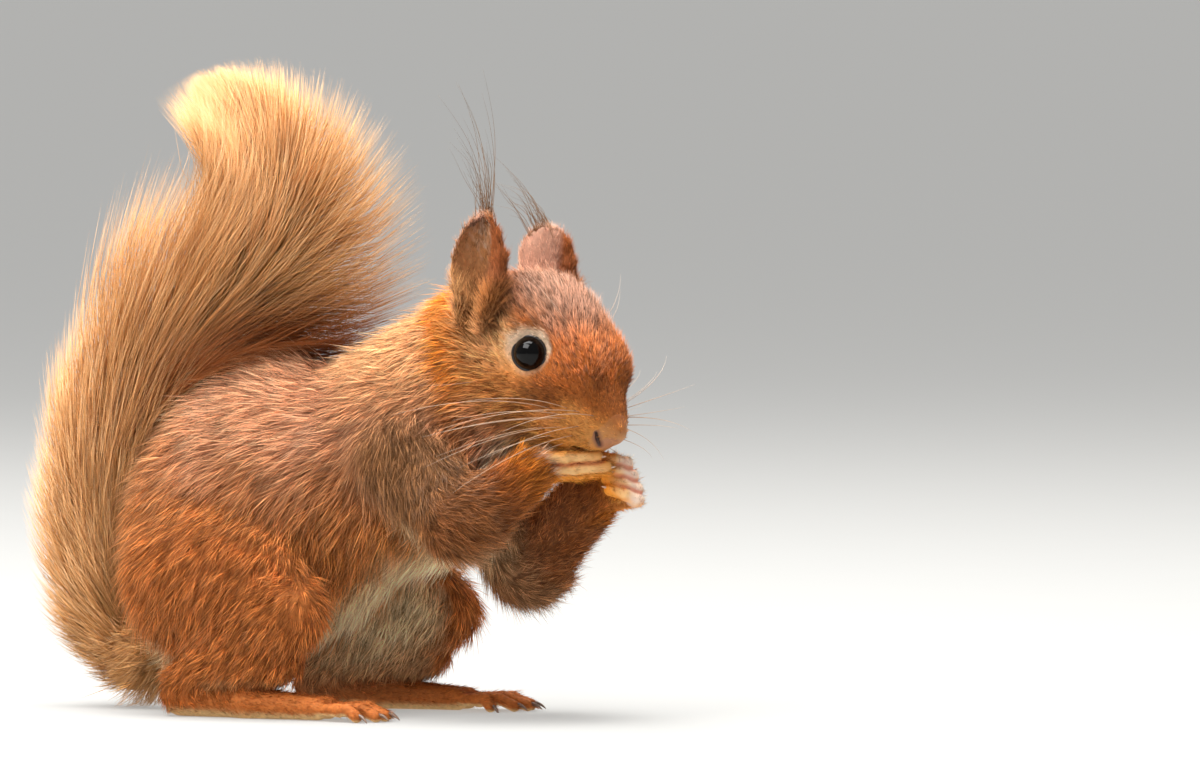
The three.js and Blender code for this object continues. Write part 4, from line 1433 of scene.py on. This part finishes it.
lidMaterial = bareFinish("squirrel_lid", 0.34, 0.35, 1800.0, 0.3)
for side in sides:
    at, look, ahead, up = eyeFrame(side)
    rows, shade = [], []
    for turn in np.linspace(0, 360, 73)[:-1]:
        out = ahead * math.cos(math.radians(turn)) + up * math.sin(math.radians(turn))
        angle = lid["open"]
        for place, more, width in (lid["corner"], lid["backCorner"], lid["brow"]):
            gap = (turn - place + 180) % 360 - 180
            angle += more * math.exp(-(gap / width) ** 2)
        row = []
        for step, height, pale in lid["section"]:
            t = math.radians(angle + step)
            row.append(at + (look * math.cos(t) + out * math.sin(t)) * height)
            shade.append(mix(lid["dark"], lid["pale"], pale))
        rows.append(row)
    points, tris = ringMesh(rows, loop=True)
    inner = dot(areaNormals(points, tris), points[tris].mean(1) - at)
    if inner.sum() < 0:
        tris = tris[:, ::-1]
    smallPiece("eyelid_" + side, points, tris, np.float32(shade), lidMaterial)
print("lids ready")


def noseField():
    # the tip of the face again, drawn finely, with the comma of each nostril and the cleft of the lip
    middle = inHead(nosePad["middle"])

    def raised(p):
        edge = np.linalg.norm(p - middle, axis=1)
        return face(p) - 0.12 + 0.5 * ramp(6.4, 8.4, edge)
    cleft = skullCone((1.5, 0, -0.6), (-0.2, 0, -6.4), 0.22, 0.34)
    bare = hollowed(0.45, raised, united(makeNostrils(0), cleft))

    def tip(p):
        return np.maximum(bare(p), ball(middle, nosePad["reach"])(p))
    return tip


middle = inHead(nosePad["middle"])
points, tris = polygonise(noseField(), middle - nosePad["room"], middle + nosePad["room"], nosePad["cell"], 3)
q = toHead(points)
depth = makeNostrils(0)(points)
noseTone = markings(points, pointNormals(points, tris), regionShares(points))
pad = egg(nosePad["pad"], nosePad["padHalf"])(q)
noseTone = lay(noseTone * 0.82, coatPaint["nose"][None], ramp(0.6, -0.6, pad))
# painted shade: the skin round each nostril is darkened and the nostril itself is near black
noseTone = lay(noseTone, paint(*nosePad["rim"]), ramp(1.4, 0.3, depth) * 0.75)
noseTone = lay(noseTone, paint(*nosePad["nostrilShade"]), ramp(0.35, -0.05, depth))
smallPiece("nose", points, tris, noseTone, bareFinish("squirrel_nose", 0.5, 0.12, 1500.0, 0.6))
print("nose ready:", len(tris))


def clawFinish():
    f = Finish("squirrel_claw")
    tone = f.attribute("tone")
    streak = f.noise(700.0, 3.0)
    return f.surface({"Coat Weight": 0.4, "Coat Roughness": 0.25, "Specular IOR Level": 0.5},
                     {"Base Color": f.scaled(tone, 0.85 + 0.3 * streak), "Roughness": 0.36 + 0.1 * streak})


claws = {"hand": {"radius": 0.5, "base": paint(206, 150, 116), "tip": paint(236, 206, 180), "turn": 50},
         "foot": {"radius": 0.62, "base": paint(92, 66, 52), "tip": paint(150, 120, 100), "turn": 55}}
clawMaterial = clawFinish()


def claw(finger, kind):
    look = claws[kind]
    way = unit(finger["tip"] - mix(finger["knuckle"], finger["tip"], 0.5) - finger["lift"] * 0.6)
    down = unit(finger["down"] - way * dot(finger["down"], way))
    steps = 7
    spots, radii = [], []
    place = finger["tip"] + way * finger["r"] * 0.25 - down * finger["r"] * 0.35
    for i in range(steps + 1):
        t = i / steps
        angle = math.radians(look["turn"]) * t - 0.25
        spots.append(place)
        radii.append(look["radius"] * (1 - t) ** 0.7 + 0.04)
        place = place + (way * math.cos(angle) + down * math.sin(angle)) * finger["claw"] / steps
    points, tris = tube(spots, radii, 8)
    points[:, 2] = np.maximum(points[:, 2], 0.05)
    t = np.concatenate((np.repeat(np.linspace(0, 1, steps + 1), 8), (0, 1)))[:, None]
    return points, tris, mix(look["base"][None], look["tip"][None], t)


for side in sides:
    for kind, fingers in (("hand", handParts(side)[4]), ("foot", footParts(side)[1])):
        points, tris, tones = gathered([claw(f, kind) for f in fingers])
        smallPiece("claws_" + kind + "_" + side, points, tris, tones, clawMaterial)
print("claws ready")


def longHairFinish():
    f = Finish("squirrel_whisker")
    tone = f.attribute("tone")
    streak = f.noise(400.0, 2.0)
    return f.surface({"Specular IOR Level": 0.5, "Sheen Weight": 0.1},
                     {"Base Color": f.scaled(tone, 0.85 + 0.3 * streak), "Roughness": 0.42 + 0.1 * streak})


longHairMaterial = longHairFinish()


def longHair(root, way, bend, length, radius, steps, base, tip, around=4, wave=(0, 0, 0)):
    t = np.linspace(0, 1, steps + 1)[:, None]
    spots = np.float32(root) + np.float32(way) * length * t + np.float32(bend) * length * t ** 2
    spots = spots + np.float32(wave) * np.sin(t * 7.5) * t
    radii = radius * (1 - 0.85 * t[:, 0])
    points, tris = tube(spots, radii, around)
    t = np.concatenate((np.repeat(t[:, 0], around), (0, 1)))[:, None]
    return points, tris, mix(base[None], tip[None], t)


def skinPlace(p):
    # brings a point on to the skin
    p = np.float32(p)[None]
    for _ in range(4):
        p = p - space.slope(p) * space.read(p)[:, None]
    return p[0]


whiskers = {
    "rows": ((-8, 5.5, 1.8), (-9, 6, -0.4), (-9.5, 6, -2.6), (-9, 5.6, -4.6)), "each": (3, 4, 3, 3),
    "length": 43, "radius": 0.11, "base": paint(170, 124, 88), "tip": paint(240, 214, 186),
    # where the whiskers of each side point and how they droop, in the head's own frame
    "way": {"right": (-0.42, -1.0, -0.36), "left": (0.10, 1.0, 0.16)},
    "droop": {"right": (0.05, 0.0, -0.28), "left": (-0.2, 0.0, -0.24)},
}
dice = np.random.default_rng(5)
hairs = []
for side, s in sides.items():
    for row, ((x, y, z), number) in enumerate(zip(whiskers["rows"], whiskers["each"])):
        for k in range(number):
            root = skinPlace(inHead((x - 2.4 * k + dice.normal(0, 0.4), s * (y + 0.8 * k), z - 0.3 * k)))
            fan = np.float32((-0.13 * (k - 1), 0, -0.17 * (row - 1.4) + 0.05 * k))
            way = unit(np.float32(whiskers["way"][side]) + fan + dice.normal(0, 0.06, 3))
            bend = np.float32(whiskers["droop"][side]) + dice.normal(0, 0.05, 3)
            length = whiskers["length"] * dice.uniform(0.62, 1.05) * (1 - 0.07 * row)
            hairs.append(longHair(root, headTurn @ way, headTurn @ bend, length, whiskers["radius"], 12,
                                  whiskers["base"], whiskers["tip"]))
    for x, y, z, reach in ((-28, 8.5, 15.5, 12), (-30, 9, 16, 16), (-22, 4, -13, 11), (-36, 13.5, -8, 14)):
        root = skinPlace(inHead((x, s * y, z)))
        way = headTurn @ unit(np.float32((-0.35, s * 0.8, 0.6 * np.sign(z))))
        hairs.append(longHair(root, way, headTurn @ np.float32((-0.3, 0, -0.1)), reach, 0.07, 10,
                              whiskers["base"], whiskers["tip"]))
points, tris, tones = gathered(hairs)
smallPiece("whiskers", points, tris, tones, longHairMaterial)

tufts = {
    "right": {"count": 46, "length": (6, 38), "lean": (0.10, 0.0, 1.0), "bend": (-0.50, 0.0, 0.0)},
    "left": {"count": 40, "length": (4, 22), "lean": (-0.30, -0.05, 0.9), "bend": (-0.6, -0.05, 0.1)},
}
tuftPaint = {"base": paint(150, 104, 64), "tip": paint(104, 84, 62)}
for side, look in tufts.items():
    dice = np.random.default_rng(9 + sides[side])
    root, rise, length, across, opening = earFrame(side)
    hairs = []
    wisps = [dice.normal(0, 0.055, 3) for _ in range(5)]
    waves = [dice.normal(0, 0.7, 3) for _ in range(5)]
    for k in range(look["count"]):
        t = dice.uniform(0.72, 0.92) if k % 4 == 0 else dice.uniform(0.90, 0.985)
        wide = float(earOutline(np.float32(t), side))
        start = root + rise * length * t + across * dice.uniform(-0.7, 0.7) * wide
        start = start + opening * dice.uniform(0, 1.4)
        way = unit(np.float32(look["lean"]) + wisps[k % 5] + dice.normal(0, 0.035, 3))
        bend = np.float32(look["bend"]) + wisps[k % 5] * 1.5 + dice.normal(0, 0.05, 3)
        reach = look["length"][0] + (look["length"][1] - look["length"][0]) * dice.random() ** 1.5
        hairs.append(longHair(start, way, bend * 0.6, reach, 0.11, 14, tuftPaint["base"], tuftPaint["tip"], 3,
                              waves[k % 5] + dice.normal(0, 0.25, 3)))
    points, tris, tones = gathered(hairs)
    smallPiece("ear_tuft_" + side, points, tris, tones, longHairMaterial)
print("whiskers and tufts ready")


def floorFinish():
    look = {"pale": (0.27, 0.268, 0.26, 1), "glow": 1.3}
    f = Finish("studio_floor")
    grain = f.noise(30.0, 4.0)
    color = f.scaled(f.node("ShaderNodeRGB"), 0.98 + 0.04 * grain)
    f.tree.nodes["RGB"].outputs[0].default_value = look["pale"]
    return f.surface({"Specular IOR Level": 0.1, "Emission Color": look["pale"],
                      "Emission Strength": look["glow"]},
                     {"Base Color": color, "Roughness": 0.8 + 0.1 * grain})


mesh = bpy.data.meshes.new("floor")
mesh.from_pydata([(-90, -90, 0), (90, -90, 0), (90, 90, 0), (-90, 90, 0)], [], [(0, 1, 2, 3)])
floor = bpy.data.objects.new("floor", mesh)
bpy.context.scene.collection.objects.link(floor)
floor.data.materials.append(floorFinish())


def areaLight(name, at, aim, size, power, color):
    data = bpy.data.lights.new(name, "AREA")
    data.shape = "RECTANGLE"
    data.size, data.size_y = size
    data.energy = power
    data.color = color
    lamp = bpy.data.objects.new(name, data)
    lamp.location = at
    lamp.rotation_euler = (Vector(aim) - Vector(at)).to_track_quat("-Z", "Y").to_euler()
    bpy.context.scene.collection.objects.link(lamp)


middle = (0.0, 0.0, 0.09)
areaLight("softbox_key", (-0.35, -1.1, 1.35), middle, (1.05, 0.75), 24, (1.0, 0.99, 0.97))
areaLight("softbox_top", (-0.25, 0.0, 1.6), middle, (1.3, 1.3), 62, (1.0, 1.0, 0.99))
areaLight("softbox_back", (-1.1, 1.0, 1.2), middle, (0.8, 0.8), 10, (1.0, 0.98, 0.95))
world = bpy.data.worlds.new("studio")
world.use_nodes = True
world.node_tree.nodes["Background"].inputs[0].default_value = (0.86, 0.87, 0.88, 1)
world.node_tree.nodes["Background"].inputs[1].default_value = 0.36
bpy.context.scene.world = world

view = {"azimuth": 24, "elevation": 2, "target": (48.1, 24.8, 88.8), "distance": 3603, "lens": 400}
a, e = math.radians(view["azimuth"]), math.radians(view["elevation"])
toCamera = np.array((math.sin(a) * math.cos(e), -math.cos(a) * math.cos(e), math.sin(e)))
data = bpy.data.cameras.new("camera")
data.lens = view["lens"]
data.sensor_width = 36
data.clip_end = 300
camera = bpy.data.objects.new("camera", data)
camera.location = toScene(np.array(view["target"]) + toCamera * view["distance"])
camera.rotation_euler = (-Vector(toCamera)).to_track_quat("-Z", "Y").to_euler()
bpy.context.scene.collection.objects.link(camera)
bpy.context.scene.camera = camera
bpy.context.scene.view_settings.view_transform = "Standard"
